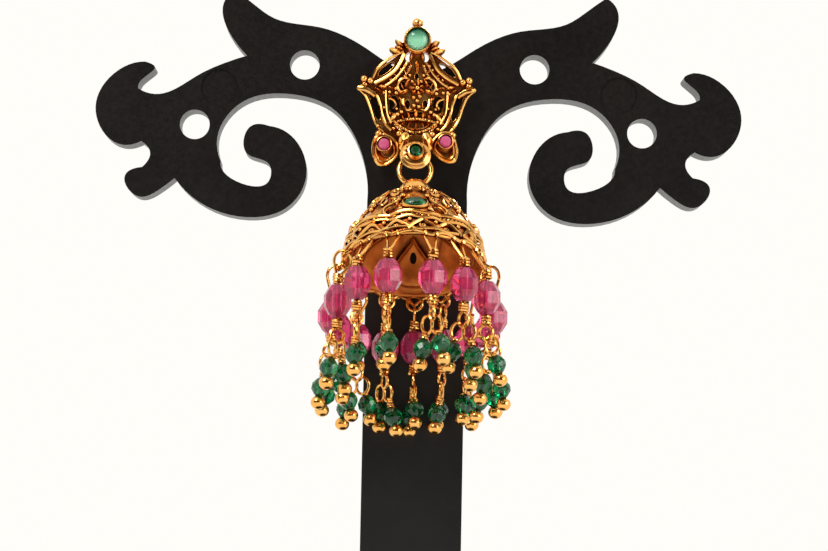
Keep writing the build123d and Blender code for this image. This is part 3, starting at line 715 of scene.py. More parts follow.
# ---- Jump ring ----------------------------------------------------------------------------------
# Plain round gold wire bent into a ring, with its two cut ends pressed together at the left, so
# that the bell can hang from the eye of the stud and swing.
RING_RADIUS = 2.1
RING_STEPS = 72
CUT_ANGLE = 200.0
CUT_HALF_GAP = 0.6
ring_gold = make_gold("ring_gold", 0.09)
ring_place = seat_place(HANG + RING_DOWN * RING_RADIUS, RING_FRONT)
ring_path = []
for step in range(RING_STEPS + 1):
    turn = math.radians(CUT_ANGLE + CUT_HALF_GAP + (360 - 2 * CUT_HALF_GAP) * step / RING_STEPS)
    ring_path.append(ring_place @ Vector((RING_RADIUS * math.cos(turn), RING_RADIUS * math.sin(turn), 0)))
jump_ring = Work()
jump_ring.wire(ring_path, RING_WIRE, sides=16)
make_piece("jump_ring_wire", jump_ring, ring_gold, "link", ["jump_ring"])

# ---- Bell: its shell -----------------------------------------------------------------------------
# The bell is raised from gold sheet over a former, with eight swelling lobes that meet in sharp
# creases, pierced with six round windows and an almond one at the back. Its inside is matt
# orange-brown gold, a darker copy of the outside as painted shade, with more painted shade in
# its creases. It hangs leaning back against the post.
SHELL = 0.5
SHELL_OUTSIDE = (0.86, 0.36, 0.07, 1)
# The inside's colours are painted shade: a darker copy of the gold, patchy at random, near black-brown in
# creases.
SHELL_INSIDE = (0.86, 0.3, 0.045, 1)
SHELL_SHADE = (0.5, 0.13, 0.02, 1)
INSIDE_PAINTED_SHADE = (0.1, 0.012, 0.003, 1)
INSIDE_REACH = 0.0016
INSIDE_GRAIN = 0.00002
SHELL_SMOOTH = 60.0
RIM_RADIUS = 9.2
BELL_LENGTH = 12.0
BELL_LEAN = math.radians(22)
BELL_DOWN = Vector((0, -math.sin(BELL_LEAN), -math.cos(BELL_LEAN)))
BELL_FRONT = Vector((0, -math.cos(BELL_LEAN), math.sin(BELL_LEAN)))
BELL_RIGHT = Vector((1, 0, 0))
RING_BOTTOM = HANG + RING_DOWN * 2 * RING_RADIUS
LOBES = 8
LOBE_TURN = 360 / LOBES
LOBE_DEPTH = 0.55
CREASE_TOP = 2.6
CREASE_FADE = 2.5
RIM_FADE = 1.2
BELL_PROFILE = [(0.0, 0.75), (1.6, 0.9), (2.8, 1.6), (4.1, 2.8), (5.4, 4.0), (6.8, 5.6), (8.0, 7.5)]
BELL_PROFILE += [(8.6, 9.2), (8.9, 10.6), (RIM_RADIUS, BELL_LENGTH)]
# The shoulder between these two depths is made of panels, some with a window.
SHOULDER = 4.9
BAND = 9.1
PANELS = 16
PANEL = 360 / PANELS
PANEL_ACROSS = 8
PANEL_DOWN = 12
PATCH_RINGS = 6
WINDOW_PANELS = (1, 3, 5, 11, 13, 15)
WINDOW = dict(down=7.5, half_wide=0.9, half_tall=1.05)
BACK_PANEL = 8
BACK_WINDOW = dict(down=6.9, half_wide=0.5, half_tall=0.9)
CAP_DEPTHS = [0.75, 0.78, 0.84, 0.92, 1.1, 1.3, 1.55, 1.9, 2.3, 2.8, 3.3, 3.8, 4.3, 4.6, SHOULDER]
bell_profile = [(p.x, p.y) for p in curve_through([(r, down, 0) for r, down in BELL_PROFILE], 10)]


def bell_out(angle):
    """Direction away from the bell's axis at an angle in degrees from the front, to the right."""
    return BELL_FRONT * math.cos(math.radians(angle)) + BELL_RIGHT * math.sin(math.radians(angle))


def bell_point(radius, down, angle):
    """Point at a distance from the bell's axis, a depth below the ring and an angle round the axis."""
    return RING_BOTTOM + BELL_DOWN * down + bell_out(angle) * radius


def bell_outline(down):
    """Radius of the bell at a depth, with the outward and upward shares of its surface's normal."""
    for (r0, d0), (r1, d1) in zip(bell_profile, bell_profile[1:]):
        if down <= d1 and d1 > d0:
            break
    share = min(max((down - d0) / (d1 - d0), 0.0), 1.0)
    length = math.hypot(r1 - r0, d1 - d0)
    return r0 + (r1 - r0) * share, (d1 - d0) / length, (r1 - r0) / length


def on_bell(down, angle, lift=0.0):
    """Point on the bell's lobed skin, lifted off it. The creases fade out at the cap and at the rim."""
    radius, out, up = bell_outline(down)
    crease = 1 - abs(math.cos(math.radians(LOBES / 2 * angle))) ** 0.8
    crease *= min(max((down - CREASE_TOP) / CREASE_FADE, 0.0), 1.0)
    crease *= min(max((BELL_LENGTH - down) / RIM_FADE, 0.0), 1.0)
    lift -= LOBE_DEPTH * crease
    return bell_point(radius + lift * out, down - lift * up, angle)


def window_patch(work, angles, down, half_wide, half_tall):
    """Panel of the shell with a round or almond-shaped window: rings of points from border to hole."""
    corners = [(angles[0], SHOULDER), (angles[1], SHOULDER), (angles[1], BAND), (angles[0], BAND)]
    border = []
    for start, end, count in zip(corners, corners[1:] + corners[:1], (PANEL_ACROSS, PANEL_DOWN) * 2):
        for i in range(count):
            border.append([a + (b - a) * i / count for a, b in zip(start, end)])
    middle = sum(angles) / 2
    scale = math.radians(1) * bell_outline(down)[0]
    rows = []
    for ring in range(PATCH_RINGS + 1):
        share = ring / PATCH_RINGS
        row = []
        for angle, below in border:
            turn = math.atan2(below - down, (angle - middle) * scale)
            u, v = abs(math.cos(turn)), abs(math.sin(turn))
            size = (1 + 0.35 * math.sin(2 * math.atan2(v, u))) / (u / half_wide + v / half_tall)
            ring_angle = middle + size * math.cos(turn) / scale
            ring_angle += (angle - ring_angle) * share
            ring_down = down + size * math.sin(turn)
            ring_down += (below - ring_down) * share
            row.append(on_bell(ring_down, ring_angle))
        rows.append(row)
    work.rows(rows)


shell = Work()
skirt_depths = [BAND + (BELL_LENGTH - BAND) * i / 10 for i in range(11)]
for depths in (CAP_DEPTHS, skirt_depths):
    count = PANELS * PANEL_ACROSS
    shell.rows([[on_bell(down, PANEL + 360 * i / count) for i in range(count)] for down in depths])
for panel in range(PANELS):
    span = (PANEL * (panel - 0.5), PANEL * (panel + 0.5))
    if panel in WINDOW_PANELS:
        window_patch(shell, span, **WINDOW)
    elif panel == BACK_PANEL:
        window_patch(shell, span, **BACK_WINDOW)
    else:
        downs = [SHOULDER + (BAND - SHOULDER) * i / PANEL_DOWN for i in range(PANEL_DOWN + 1)]
        angles = [span[0] + PANEL * i / PANEL_ACROSS for i in range(PANEL_ACROSS + 1)]
        shell.rows([[on_bell(down, angle) for angle in angles] for down in downs], joined=False)

# The bell's painted shade reaches wider, and darkens the sheet between the wires.
bell_gold = make_gold("bell_gold", 0.22, SHELL_OUTSIDE, (0.5, 1.0))
# Painted shade: the inside is a darker copy of the gold, and turns near black-brown where ambient occlusion
# finds a tight crease.
inside_gold = new_finish("bell_inside_gold", SHELL_INSIDE, Metallic=0.75)
blush = add_noise(inside_gold, 420.0)
open_air = add_range(inside_gold, add_openness(inside_gold, INSIDE_REACH), 0, 1, 0.3, 0.85)
tone = add_mix(inside_gold, add_range(inside_gold, blush, 0, 1), SHELL_SHADE, SHELL_INSIDE)
feed(inside_gold, "Base Color", add_mix(inside_gold, open_air, INSIDE_PAINTED_SHADE, tone))
feed(inside_gold, "Roughness", add_range(inside_gold, blush, 0.38, 0.5))
add_relief(inside_gold, add_noise(inside_gold, 2600.0), INSIDE_GRAIN)
bell_shell = make_piece("bell_shell", shell, bell_gold, "drop", ["bell_dome"], crease=SHELL_SMOOTH)
bell_shell.data.materials.append(inside_gold)
sheet = bell_shell.modifiers.new("sheet_thickness", "SOLIDIFY")
sheet.thickness = SHELL * MM
sheet.offset = -1
sheet.material_offset = 1

# ---- Bell: petals inside it -----------------------------------------------------------------------
# Eight hollow petals of the same matt gold, pressed out of thin sheet and soldered inside the
# shell, one behind each lobe. The one at the back is open, so that light comes through its window.
PETAL_EDGE = [(0.0, 4.3), (0.35, 5.0), (0.9, 5.7), (1.7, 6.7), (2.45, 7.8), (2.85, 8.9), (2.9, 9.9)]
PETAL_EDGE += [(2.6, 10.8), (1.9, 11.4), (0.9, 11.65)]
PETAL_HOLLOW = dict(down=6.9, half_wide=0.42, half_tall=0.82)
PETAL_RINGS = 6
BACK_PETAL = 4
inside = Work()
outline = PETAL_EDGE + [(-across, down) for across, down in reversed(PETAL_EDGE)]
hole = []
for index in range(len(outline)):
    turn = 2 * math.pi * index / len(outline)
    across = PETAL_HOLLOW["half_wide"] * math.sin(turn)
    hole.append((across, PETAL_HOLLOW["down"] - PETAL_HOLLOW["half_tall"] * math.cos(turn)))
for lobe in range(LOBES):
    rows = []
    for ring in range(PETAL_RINGS + 1):
        share = ring / PETAL_RINGS
        depth = SHELL + 0.3 + 0.85 * math.sin(math.pi * min(share, 0.5)) if ring else SHELL - 0.1
        row = []
        for (edge_across, edge_down), (hole_across, hole_down) in zip(outline, hole):
            across = edge_across + (hole_across - edge_across) * share
            down = edge_down + (hole_down - edge_down) * share
            radius, out, up = bell_outline(down)
            angle = LOBE_TURN * lobe + math.degrees(across / max(radius - depth, 0.5))
            row.append(bell_point(radius - depth * out, down + depth * up, angle))
        rows.append(row)
    inside.rows(rows)
    inside.wire(rows[1], 0.16, sides=6, closed=True)
    if lobe != BACK_PETAL:
        inside.lid(rows[-1])
make_piece("bell_inside_petals", inside, inside_gold, "drop", crease=SHELL_SMOOTH)

# ---- Bell: ornament on the shell ------------------------------------------------------------------
# Wires, scrolls, ropes, balls and settings soldered to the outside of the shell, the eye that the
# jump ring passes through, the wavy rim wires, and small rings under them for the strands.
LOOP_WIRE = 0.45
RIM_LOOP_RADIUS = 0.98
SIDE_RING = 0.62
FRONT_COSINE = 0.45
SIDE_LEAN = 30
BELL_EYE_RADIUS = 1.05
STONE_ANGLES = {"bell_stone_front": 0.0, "bell_stone_right": 90.0, "bell_stone_left": 270.0}
STONE_TILT = math.radians(28)
STONE_SPOT = (7.65, 7.1)
STONE_HALF = (1.5, 0.95)
COLLAR_WALL = 0.22
COLLAR_HEIGHT = 0.5
trim = Work()


def bell_path(down, angle, points, lift, steps=5, closed=False):
    """Smooth path over the bell through (across, down) offsets in millimetres from a spot."""
    run = []
    for offset in curve_through([(across, below, 0) for across, below in points], steps, closed):
        radius = max(bell_outline(down + offset.y)[0], 0.5)
        run.append(on_bell(down + offset.y, angle + math.degrees(offset.x / radius), lift))
    return run


def bell_wire(down, angle, points, lift, radius, closed=False):
    """Thin wire soldered on the bell through (across, down) offsets from a spot."""
    trim.wire(bell_path(down, angle, points, lift, closed=closed), radius, sides=6, closed=closed)


def add_curl(down, angle, size, turns, side, start, wire, lift):
    """Wire wound in a spiral from its size to its middle, with a ball in the middle."""
    run = []
    steps = 14 * turns
    for step in range(int(steps) + 1):
        turn = math.radians(start) + 2 * math.pi * turns * step / steps
        reach = size * (1 - 0.82 * step / steps)
        run.append((side * reach * math.cos(turn), reach * math.sin(turn)))
    trim.wire(bell_path(down, angle, run, lift, steps=2), wire, sides=6)
    trim.ball(on_bell(down, angle, lift + 0.05), wire * 1.5, sides=8)


# Smooth dome on the cap in front of the ring, with a curl on each side, and a ribbed collar behind.
DOME_SPOT = (1.4, 2.35)
DOME_RADIUS = 2.25
trim.ball(bell_point(*DOME_SPOT, 0), DOME_RADIUS, up=BELL_FRONT - BELL_DOWN, sides=32)
trim.wire([on_bell(2.45, 80 + 5.0 * i, 0.1) for i in range(41)], 0.2)
for rib in range(3, 10):
    trim.wire([on_bell(down, 30.0 * rib, 0.06) for down in (0.8, 0.9, 1.1, 1.35, 1.8, 2.3)], 0.16, sides=6)
for side in (-1, 1):
    curl = seat_place(bell_point(3.6, 2.8, side * 21), bell_out(side * 21))
    trim.wire(ring_row(curl, 0.42, 0.36, count=16), 0.17, closed=True, sides=6)
    trim.ball(curl.translation, 0.2, sides=8)


def bell_seat(angle):
    """Seat of a stone on the bell's shoulder."""
    normal = bell_out(angle) * math.cos(STONE_TILT) - BELL_DOWN * math.sin(STONE_TILT)
    return seat_place(bell_point(*STONE_SPOT, angle), normal, BELL_DOWN.cross(bell_out(angle)))


for angle in STONE_ANGLES.values():
    seat = bell_seat(angle)
    add_setting(trim, seat, *STONE_HALF, COLLAR_WALL, COLLAR_HEIGHT)
    trim.rows([ring_row(seat, 1.72, 1.17, -0.3), ring_row(seat, 1.45, 0.9, -0.9)])
    trim.wire(ring_row(seat, 1.95, 1.25, -0.35, 36), 0.16, closed=True, sides=6)

LEAF = [(0, -1.6), (0.7, -0.2), (0.5, 0.8), (0, 1.2), (-0.5, 0.8), (-0.7, -0.2)]
for quarter in range(4):
    angle = 90.0 * quarter
    for side in (-1, 1):
        # Curls that stand up on the shoulder above and beside each setting.
        add_curl(3.55, angle + side * 9, 0.62, 1.3, side, 200, 0.2, 0.35)
        add_curl(4.3, angle + side * 25, 0.85, 1.5, side, 160, 0.22, 0.45)
        add_curl(5.9, angle + side * 21, 0.7, 1.5, -side, 200, 0.2, 0.35)
        bell_wire(6.2, angle + side * 15.5, [(0, -1.5), (side * 0.35, -0.2), (side * 0.1, 1.0)], 0.25, 0.2)
        for down, turn, lift, size in ((5.0, 14, 0.2, 0.3), (7.9, 13, 0.15, 0.28), (3.1, 20, 0.3, 0.3)):
            trim.ball(on_bell(down, angle + side * turn, lift), size)
    # Leaf between the settings, over the crease of the lobes.
    between = angle + LOBE_TURN
    bell_wire(4.6, between, LEAF, 0.25, 0.2, closed=True)
    trim.ball(on_bell(4.7, between, 0.15), 0.42, flat=0.8, up=bell_out(between))
    for side in (-1, 1):
        fan = [(0, -0.9), (side * 0.55, -0.1), (side * 0.35, 0.7), (-side * 0.1, 0.3)]
        bell_wire(5.9, between + side * 9, fan, 0.22, 0.17, closed=True)
        bell_wire(3.5, between + side * 12, [(0, -0.7), (side * 0.3, 0), (side * 0.1, 0.9)], 0.2, 0.18)
    trim.ball(on_bell(6.3, between, 0.2), 0.42)
    trim.ball(on_bell(7.0, between, 0.2), 0.3)

# Raised edge round each window of the shoulder.
WINDOW_EDGE = [(0, -1.3), (0.75, -0.75), (1.15, 0.1), (0.75, 0.85), (0, 1.2), (-0.75, 0.85), (-1.15, 0.1)]
WINDOW_EDGE += [(-0.75, -0.75)]
for panel in WINDOW_PANELS:
    bell_wire(WINDOW["down"], PANEL * panel, WINDOW_EDGE, 0.14, 0.17, closed=True)

# Two uneven wires round the ridge, with a twisted rope between them.
for down, lift, wire, waves in ((8.75, 0.36, 0.25, 9), (9.5, 0.3, 0.21, 14)):
    path = []
    for i in range(180):
        turn = math.radians(2.0 * i)
        wave = 0.1 * math.sin(waves * turn) + 0.05 * math.sin((waves + 4) * turn)
        path.append(on_bell(down + wave, 2.0 * i, lift))
    trim.wire(path, wire, closed=True)
trim.rope([on_bell(9.12, 3.0 * i, 0.12) for i in range(120)], 0.24, 1.1, closed=True, up=BELL_DOWN)

# Low pointed arches round the skirt, a curl in each, and balls between them.
ARCH = [(-1.9, 1.1), (-1.3, 0.5), (-0.6, -0.1), (0, -0.4), (0.6, -0.1), (1.3, 0.5), (1.9, 1.1)]
bends = Random(5)
for arch in range(PANELS):
    angle = PANEL * arch + 6.0 + bends.uniform(-2, 2)
    path = [(across, down + bends.uniform(-0.15, 0.15)) for across, down in ARCH]
    trim.wire(bell_path(10.3, angle, path, 0.24), bends.uniform(0.2, 0.27), sides=7)
    add_curl(10.95, angle, 0.42, 1.2, bends.choice((-1, 1)), bends.uniform(0, 360), 0.16, 0.2)
    trim.ball(on_bell(9.95, angle + PANEL / 2, 0.2), 0.3)

# Wavy wires round the rim, which hang lowest at the strands. Then the bell's eye and the strands'
# rings. Each strand has its angle on the rim, its ring's lean, its hook's radius, the turn of its
# two drops, their shift outward, and the bare length of the outer and the inner drop's pin.
STRANDS = [
    dict(angle=13.0, lean=55, hook=1.1, turn=35, shift=0.0, outer=0.7, inner=1.3),
    dict(angle=37.0, lean=55, hook=1.1, turn=26, shift=0.0, outer=1.4, inner=0.8),
    dict(angle=62.0, lean=55, hook=1.15, turn=32, shift=0.0, outer=0.8, inner=1.5),
    dict(angle=86.0, lean=50, hook=1.4, turn=38, shift=0.0, outer=1.5, inner=0.9),
    dict(angle=109.0, lean=45, hook=1.4, turn=30, shift=0.0, outer=0.8, inner=1.5),
    dict(angle=132.0, lean=35, hook=1.2, turn=30, shift=0.0, outer=1.3, inner=0.7),
    dict(angle=155.0, lean=20, hook=1.0, turn=20, shift=-0.9, outer=0.8, inner=1.5),
    dict(angle=178.0, lean=15, hook=1.0, turn=12, shift=-0.9, outer=1.4, inner=0.7),
    dict(angle=201.5, lean=15, hook=1.2, turn=15, shift=-0.9, outer=0.8, inner=1.5),
    dict(angle=225.0, lean=35, hook=1.2, turn=30, shift=0.0, outer=1.4, inner=0.8),
    dict(angle=248.0, lean=45, hook=1.4, turn=26, shift=0.0, outer=0.8, inner=1.4),
    dict(angle=271.0, lean=50, hook=1.45, turn=35, shift=0.0, outer=1.5, inner=0.8),
    dict(angle=294.0, lean=55, hook=1.4, turn=30, shift=0.0, outer=0.9, inner=1.5),
    dict(angle=317.5, lean=55, hook=1.0, turn=38, shift=0.0, outer=1.4, inner=0.8),
    dict(angle=342.0, lean=55, hook=1.0, turn=30, shift=0.0, outer=0.8, inner=1.4),
]


def rim_dip(angle):
    """How far the scalloped rim hangs down at an angle: 1 at each strand, 0 halfway between them."""
    marks = [row["angle"] for row in STRANDS]
    marks = [marks[-1] - 360] + marks + [marks[0] + 360]
    for first, second in zip(marks, marks[1:]):
        if first <= angle <= second:
            return 1 - math.sin(math.pi * (angle - first) / (second - first))


for radius, down, dip, wire, phase in ((9.15, 11.85, 0.6, 0.25, 0.0), (9.2, 11.3, 0.3, 0.2, 9.0)):
    scallops = []
    for i in range(240):
        angle = 1.5 * i
        hang = rim_dip((angle + phase) % 360)
        back = max(0.0, -math.cos(math.radians(angle)))
        below = down + 0.5 * back - 0.5 * dip + dip * (1 + back) * hang
        scallops.append(bell_point(radius + 0.1 * hang, below, angle))
    trim.wire(scallops, wire, closed=True)
eye_low = RING_BOTTOM + BELL_DOWN * (BELL_EYE_RADIUS - EYE_WIRE - RING_WIRE - EYE_AIR)
eye_place = seat_place(eye_low, BELL_RIGHT, BELL_DOWN)
trim.wire(ring_row(eye_place, BELL_EYE_RADIUS, BELL_EYE_RADIUS), EYE_WIRE, closed=True)


def loop_place(row, radius):
    """Frame of a rim ring of the given radius: its y points away from the rim, its x along it."""
    lean = math.radians(row["lean"])
    away = BELL_DOWN * math.cos(lean) + bell_out(row["angle"]) * math.sin(lean)
    along = BELL_DOWN.cross(bell_out(row["angle"]))
    rim = bell_point(RIM_RADIUS - SHELL / 2, BELL_LENGTH, row["angle"])
    return seat_place(rim + away * radius, along.cross(away), along)


def ring_size(row):
    """Radius of a strand's rim ring: none at the front, where the hook grips the rim wire itself."""
    if math.cos(math.radians(row["angle"])) > FRONT_COSINE:
        return 0.0
    return SIDE_RING if row["lean"] > SIDE_LEAN else RIM_LOOP_RADIUS


for row in STRANDS:
    size = ring_size(row)
    if size:
        trim.wire(ring_row(loop_place(row, size), size, size, count=24), LOOP_WIRE / 2, closed=True)
make_piece("bell_scrollwork", trim, make_gold("bell_trim_gold", 0.12), "drop")

# ---- Bell: its stones -------------------------------------------------------------------------------
# Three oval glass stones set in the shoulder: emerald at the front, pink at the sides. Each lies
# on the floor of its setting and is held by the collar, which is rubbed over its edge.
CUT_HALF = (1.41, 0.91)
CUT_HEIGHT = 0.75
CUT_SIDES = 14
BELL_GLASS = {
    "bell_stone_front": (emerald_glass, "emerald_glass"),
    "bell_stone_right": (pink_glass, "pink_glass"),
    "bell_stone_left": (pink_glass, "pink_glass"),
}
for name, angle in STONE_ANGLES.items():
    gem = Work()
    glass, slot = BELL_GLASS[name]
    add_gem(gem, bell_seat(angle), *CUT_HALF, CUT_SIDES, CUT_HEIGHT)
    make_piece(name + "_cut", gem, glass, "drop", [name], crease=FACETED)

# ---- Strands ------------------------------------------------------------------------------------------
# Fifteen strands under the rim. Each is gold wire: a hook with wrapped ends, a faceted pink bead,
# a wrapped loop, and two drops in it, each a headed pin with a green bead and a gold ball.
PINK_DEEP = (0.72, 0.045, 0.17, 1)
UP = Vector((0, 0, 1))
WIRE = 0.2
CORE_WIRE = 0.27
PIN = 0.22
LOOP_AIR = 0.1
HOOK_SPREAD = 4.6
HOOK_END = 0.35
HOOK_GRIP = [(9.42, 12.3), (9.5, 12.0), (9.22, 11.72), (8.92, 12.0), (9.0, 12.5)]
WRAP_LENGTH = 1.4
WRAP_RADIUS = 0.52
BEAD_LENGTH = 4.2
LOWER_LOOP_RADIUS = 0.95
DROP_EYE_RADIUS = 0.85
DROP_EYE_TALL = 1.12
DROP_REACH = 1.45
DROP_WRAP_RADIUS = 0.36
DROP_WRAP_WIRE = 0.18
DROP_WRAP_PITCH = 0.42
LEAST_WRAP = 0.3
PIN_HEAD = 0.34
DROP_BEAD_RADIUS = 1.25
DROP_BALL_RADIUS = 0.95
BALL_SINK = 0.2
# The two kinds of bead. Each ring has its share of the length and of the radius, and its turn in facets.
PINK_BEAD = dict(radius=1.8, length=BEAD_LENGTH, sides=8, hole=0.36, rings=[
    (0.0, 0.48, 0), (0.07, 0.64, 0), (0.32, 1.0, 0), (0.68, 1.0, 0), (0.93, 0.64, 0), (1.0, 0.48, 0),
])
GREEN_BEAD = dict(radius=DROP_BEAD_RADIUS, length=2.4, sides=9, hole=0.26, rings=[
    (0.0, 0.4, 0), (0.1, 0.62, 0), (0.34, 0.95, 0.5), (0.5, 1.0, 0), (0.66, 0.95, 0.5), (0.9, 0.62, 0),
    (1.0, 0.4, 0),
])
strand_gold = make_gold("strand_gold", 0.12)
bead_glass = make_glass("pink_bead_glass", PINK, PINK_DEEP, 0.78, 0.0, 500.0)
green_glass = make_glass("green_bead_glass", EMERALD, EMERALD_DEEP, 0.88, 0.0)


def wrapped_path(top, axis, length, turns, radius, start, unevenness):
    """Path of a wire wrapped round an axis, from the top down."""
    side = axis.orthogonal().normalized()
    across = axis.cross(side)
    run = []
    count = int(turns * 12)
    for step in range(count + 1):
        angle = start + 2 * math.pi * turns * step / count
        reach = radius * (1 + 0.06 * math.sin(angle * 1.7 + unevenness))
        out = reach * (math.cos(angle) * side + math.sin(angle) * across)
        run.append(top - axis * length * step / count + out)
    return run


def add_bead(work, bead, middle, axis, turn):
    """Faceted bead on an axis, with a drilled hole; neighbouring rings may turn by half a facet."""
    side = axis.orthogonal().normalized()
    across = axis.cross(side)
    sides = bead["sides"]
    hole = bead["hole"] / bead["radius"]
    rings = bead["rings"] + [(1.0, hole, 0), (0.0, hole, 0)]
    base = len(work.points)
    for share, size, shift in rings:
        for corner in range(sides):
            angle = turn + 2 * math.pi * (corner + shift) / sides
            out = size * bead["radius"] * (math.cos(angle) * side + math.sin(angle) * across)
            work.points.append(middle + axis * bead["length"] * (share - 0.5) + out)
    for r, ring in enumerate(rings):
        following = (r + 1) % len(rings)
        for c in range(sides):
            a, b = [base + r * sides + corner % sides for corner in (c, c + 1)]
            d, e = [base + following * sides + corner % sides for corner in (c, c + 1)]
            if ring[2] == rings[following][2]:
                work.faces.append([a, b, e, d])
            elif ring[2] < rings[following][2]:
                work.faces += [[a, b, d], [b, e, d]]
            else:
                work.faces += [[a, b, e], [a, e, d]]


def hook_top(row, radius):
    """Top of the hook that hangs in a rim ring of the given radius."""
    return loop_place(row, radius) @ Vector((0, radius, 0)) + UP * (LOOP_WIRE + LOOP_AIR)


def add_hook(work, row, spot, out, wrap):
    """Hook at the top of a strand: round in a rim ring, or at the front two legs on the rim wire."""
    size = ring_size(row)
    if size:
        middle = hook_top(row, size) - UP * row["hook"]
        bend = [spot + UP * (wrap - HOOK_END) - out * WIRE]
        for step in range(-9, 10):
            angle = math.radians(12.5 * step)
            bend.append(middle + row["hook"] * (0.86 * math.sin(angle) * out + math.cos(angle) * UP))
        bend.append(spot + UP * (wrap - HOOK_END) + out * WIRE)
        work.wire(curve_through(bend, 2), WIRE)
        return
    for side in (-1, 1):
        leg = [bell_point(radius, down, row["angle"] + side * HOOK_SPREAD) for radius, down in HOOK_GRIP]
        leg.append(spot + UP * (wrap - 0.3) + bell_out(row["angle"] + 90) * side * WIRE)
        work.wire(curve_through(leg, 4), WIRE)


def add_drop(work, greens, foot, across, shift, bare_pin, chance, number):
    """Drop in the lower loop: an eye, a pin that is wrapped above a green bead, and a gold ball."""
    eye = foot + across * 0.8 - UP * DROP_EYE_RADIUS
    reach = bare_pin + DROP_BEAD_RADIUS + DROP_EYE_RADIUS / 2
    spot = Vector((foot.x, foot.y, eye.z - reach)) + across * DROP_REACH + shift
    down = (spot - eye).normalized()
    ball = spot + down * (DROP_BEAD_RADIUS + DROP_BALL_RADIUS - BALL_SINK)
    eye_ring = ring_row(seat_place(eye, across.cross(UP), UP), DROP_EYE_TALL, DROP_EYE_RADIUS, count=24)
    work.wire(eye_ring, WIRE, closed=True)
    work.wire([eye + down * DROP_EYE_RADIUS, ball], PIN)
    room = (spot - eye).length - DROP_EYE_RADIUS - DROP_BEAD_RADIUS
    if room > LEAST_WRAP:
        top = eye + down * (DROP_EYE_RADIUS + 0.1)
        turns = max(1.0, room / DROP_WRAP_PITCH)
        start = chance.uniform(0, 6.28)
        path = wrapped_path(top, -down, room - 0.15, turns, DROP_WRAP_RADIUS, start, number)
        work.wire(path, DROP_WRAP_WIRE, sides=6)
    work.ball(ball, DROP_BALL_RADIUS, flat=0.94, up=down, sides=20)
    work.ball(ball - down * (DROP_BALL_RADIUS - 0.02), PIN_HEAD, flat=0.6, up=down, sides=10)
    add_bead(greens, GREEN_BEAD, spot, -down, chance.uniform(0, 1))


for number, row in enumerate(STRANDS, start=1):
    chance = Random(number)
    top = hook_top(row, RIM_LOOP_RADIUS)
    out = bell_out(row["angle"])
    out = Vector((out.x, out.y, 0)).normalized()
    spot = Vector((top.x, top.y, 0))
    wrap = top.z - 2 * row["hook"] + LOOP_WIRE / 4
    bead_top = wrap - WRAP_LENGTH - LOOP_AIR / 2
    lower_wrap = bead_top - BEAD_LENGTH - LOOP_AIR
    loop_height = lower_wrap - WRAP_LENGTH - LOWER_LOOP_RADIUS + LOOP_WIRE / 4
    wirework = Work()
    add_hook(wirework, row, spot, out, wrap)
    wirework.wire([spot + UP * wrap, spot + UP * (lower_wrap - WRAP_LENGTH)], CORE_WIRE, sides=10)
    for height in (wrap, lower_wrap):
        turns = chance.choice((3.0, 3.3, 3.6))
        start = chance.uniform(0, 6.28)
        wrap_top = spot + UP * (height - 0.1)
        path = wrapped_path(wrap_top, UP, WRAP_LENGTH - 0.25, turns, WRAP_RADIUS, start, number)
        wirework.wire(path, WIRE, sides=7)
    loop = seat_place(spot + UP * loop_height, out.cross(UP), out)
    wirework.wire(ring_row(loop, LOWER_LOOP_RADIUS, LOWER_LOOP_RADIUS, count=26), WIRE, closed=True)
    # Two drops hang in the lower loop, one on each side.
    line = Matrix.Rotation(math.radians(row["turn"]), 3, "Z") @ out
    foot = spot + UP * (loop_height - 0.75 * LOWER_LOOP_RADIUS)
    greens = Work()
    add_drop(wirework, greens, foot, line, out * row["shift"], row["outer"], chance, number)
    add_drop(wirework, greens, foot, -line, out * row["shift"], row["inner"], chance, number)
    strand = f"strand_{number:02d}"
    make_piece(strand + "_wirework", wirework, strand_gold, "drop", [strand])
    make_piece(strand + "_green_beads", greens, green_glass, "drop", crease=FACETED)
    bead = Work()
    middle = spot + UP * (bead_top - BEAD_LENGTH / 2)
    add_bead(bead, PINK_BEAD, middle, UP, chance.uniform(0, 1))
    pink_bead = f"pink_bead_{number:02d}"
    make_piece(pink_bead + "_cut", bead, bead_glass, "drop", [pink_bead], crease=FACETED)

# ---- Floor, light and camera -----------------------------------------------------------------------------
# A plain pale floor that fades into the background, three soft lamps round the piece, and a
# camera a little below the bell that looks slightly up.
CREAM = (1.0, 0.985, 0.945, 1)
PAPER = (0.86, 0.85, 0.82, 1)
FLOOR_RADIUS = 1.1
FLOOR_FADE = (0.25, 1.0)
FLOOR_CORNERS = 72
WORLD_COLOUR = (1.0, 0.98, 0.95, 1)
WORLD_LIGHT = 0.55


def add_card(name, corners, finish):
    """Flat sheet of the studio, which isn't part of the object."""
    mesh = bpy.data.meshes.new(name)
    mesh.from_pydata(corners, [], [list(range(len(corners)))])
    mesh.materials.append(finish)
    card = place_new(name, mesh)
    return card


paper = new_finish("floor_paper", PAPER, Roughness=0.8)
distance = add_node(paper, "VectorMath", {0: add_spot(paper)}, operation="LENGTH").outputs["Value"]
glow = add_node(paper, "Emission", {"Color": CREAM}).outputs["Emission"]
nodes = paper.node_tree.nodes
lit = nodes["Principled BSDF"].outputs["BSDF"]
blend = add_node(paper, "MixShader", {"Fac": add_range(paper, distance, 0, 1, *FLOOR_FADE), 1: lit, 2: glow})
paper.node_tree.links.new(blend.outputs["Shader"], nodes["Material Output"].inputs["Surface"])
turns = [2 * math.pi * i / FLOOR_CORNERS for i in range(FLOOR_CORNERS)]
add_card("floor", [(FLOOR_RADIUS * math.cos(t), FLOOR_RADIUS * math.sin(t), 0) for t in turns], paper)

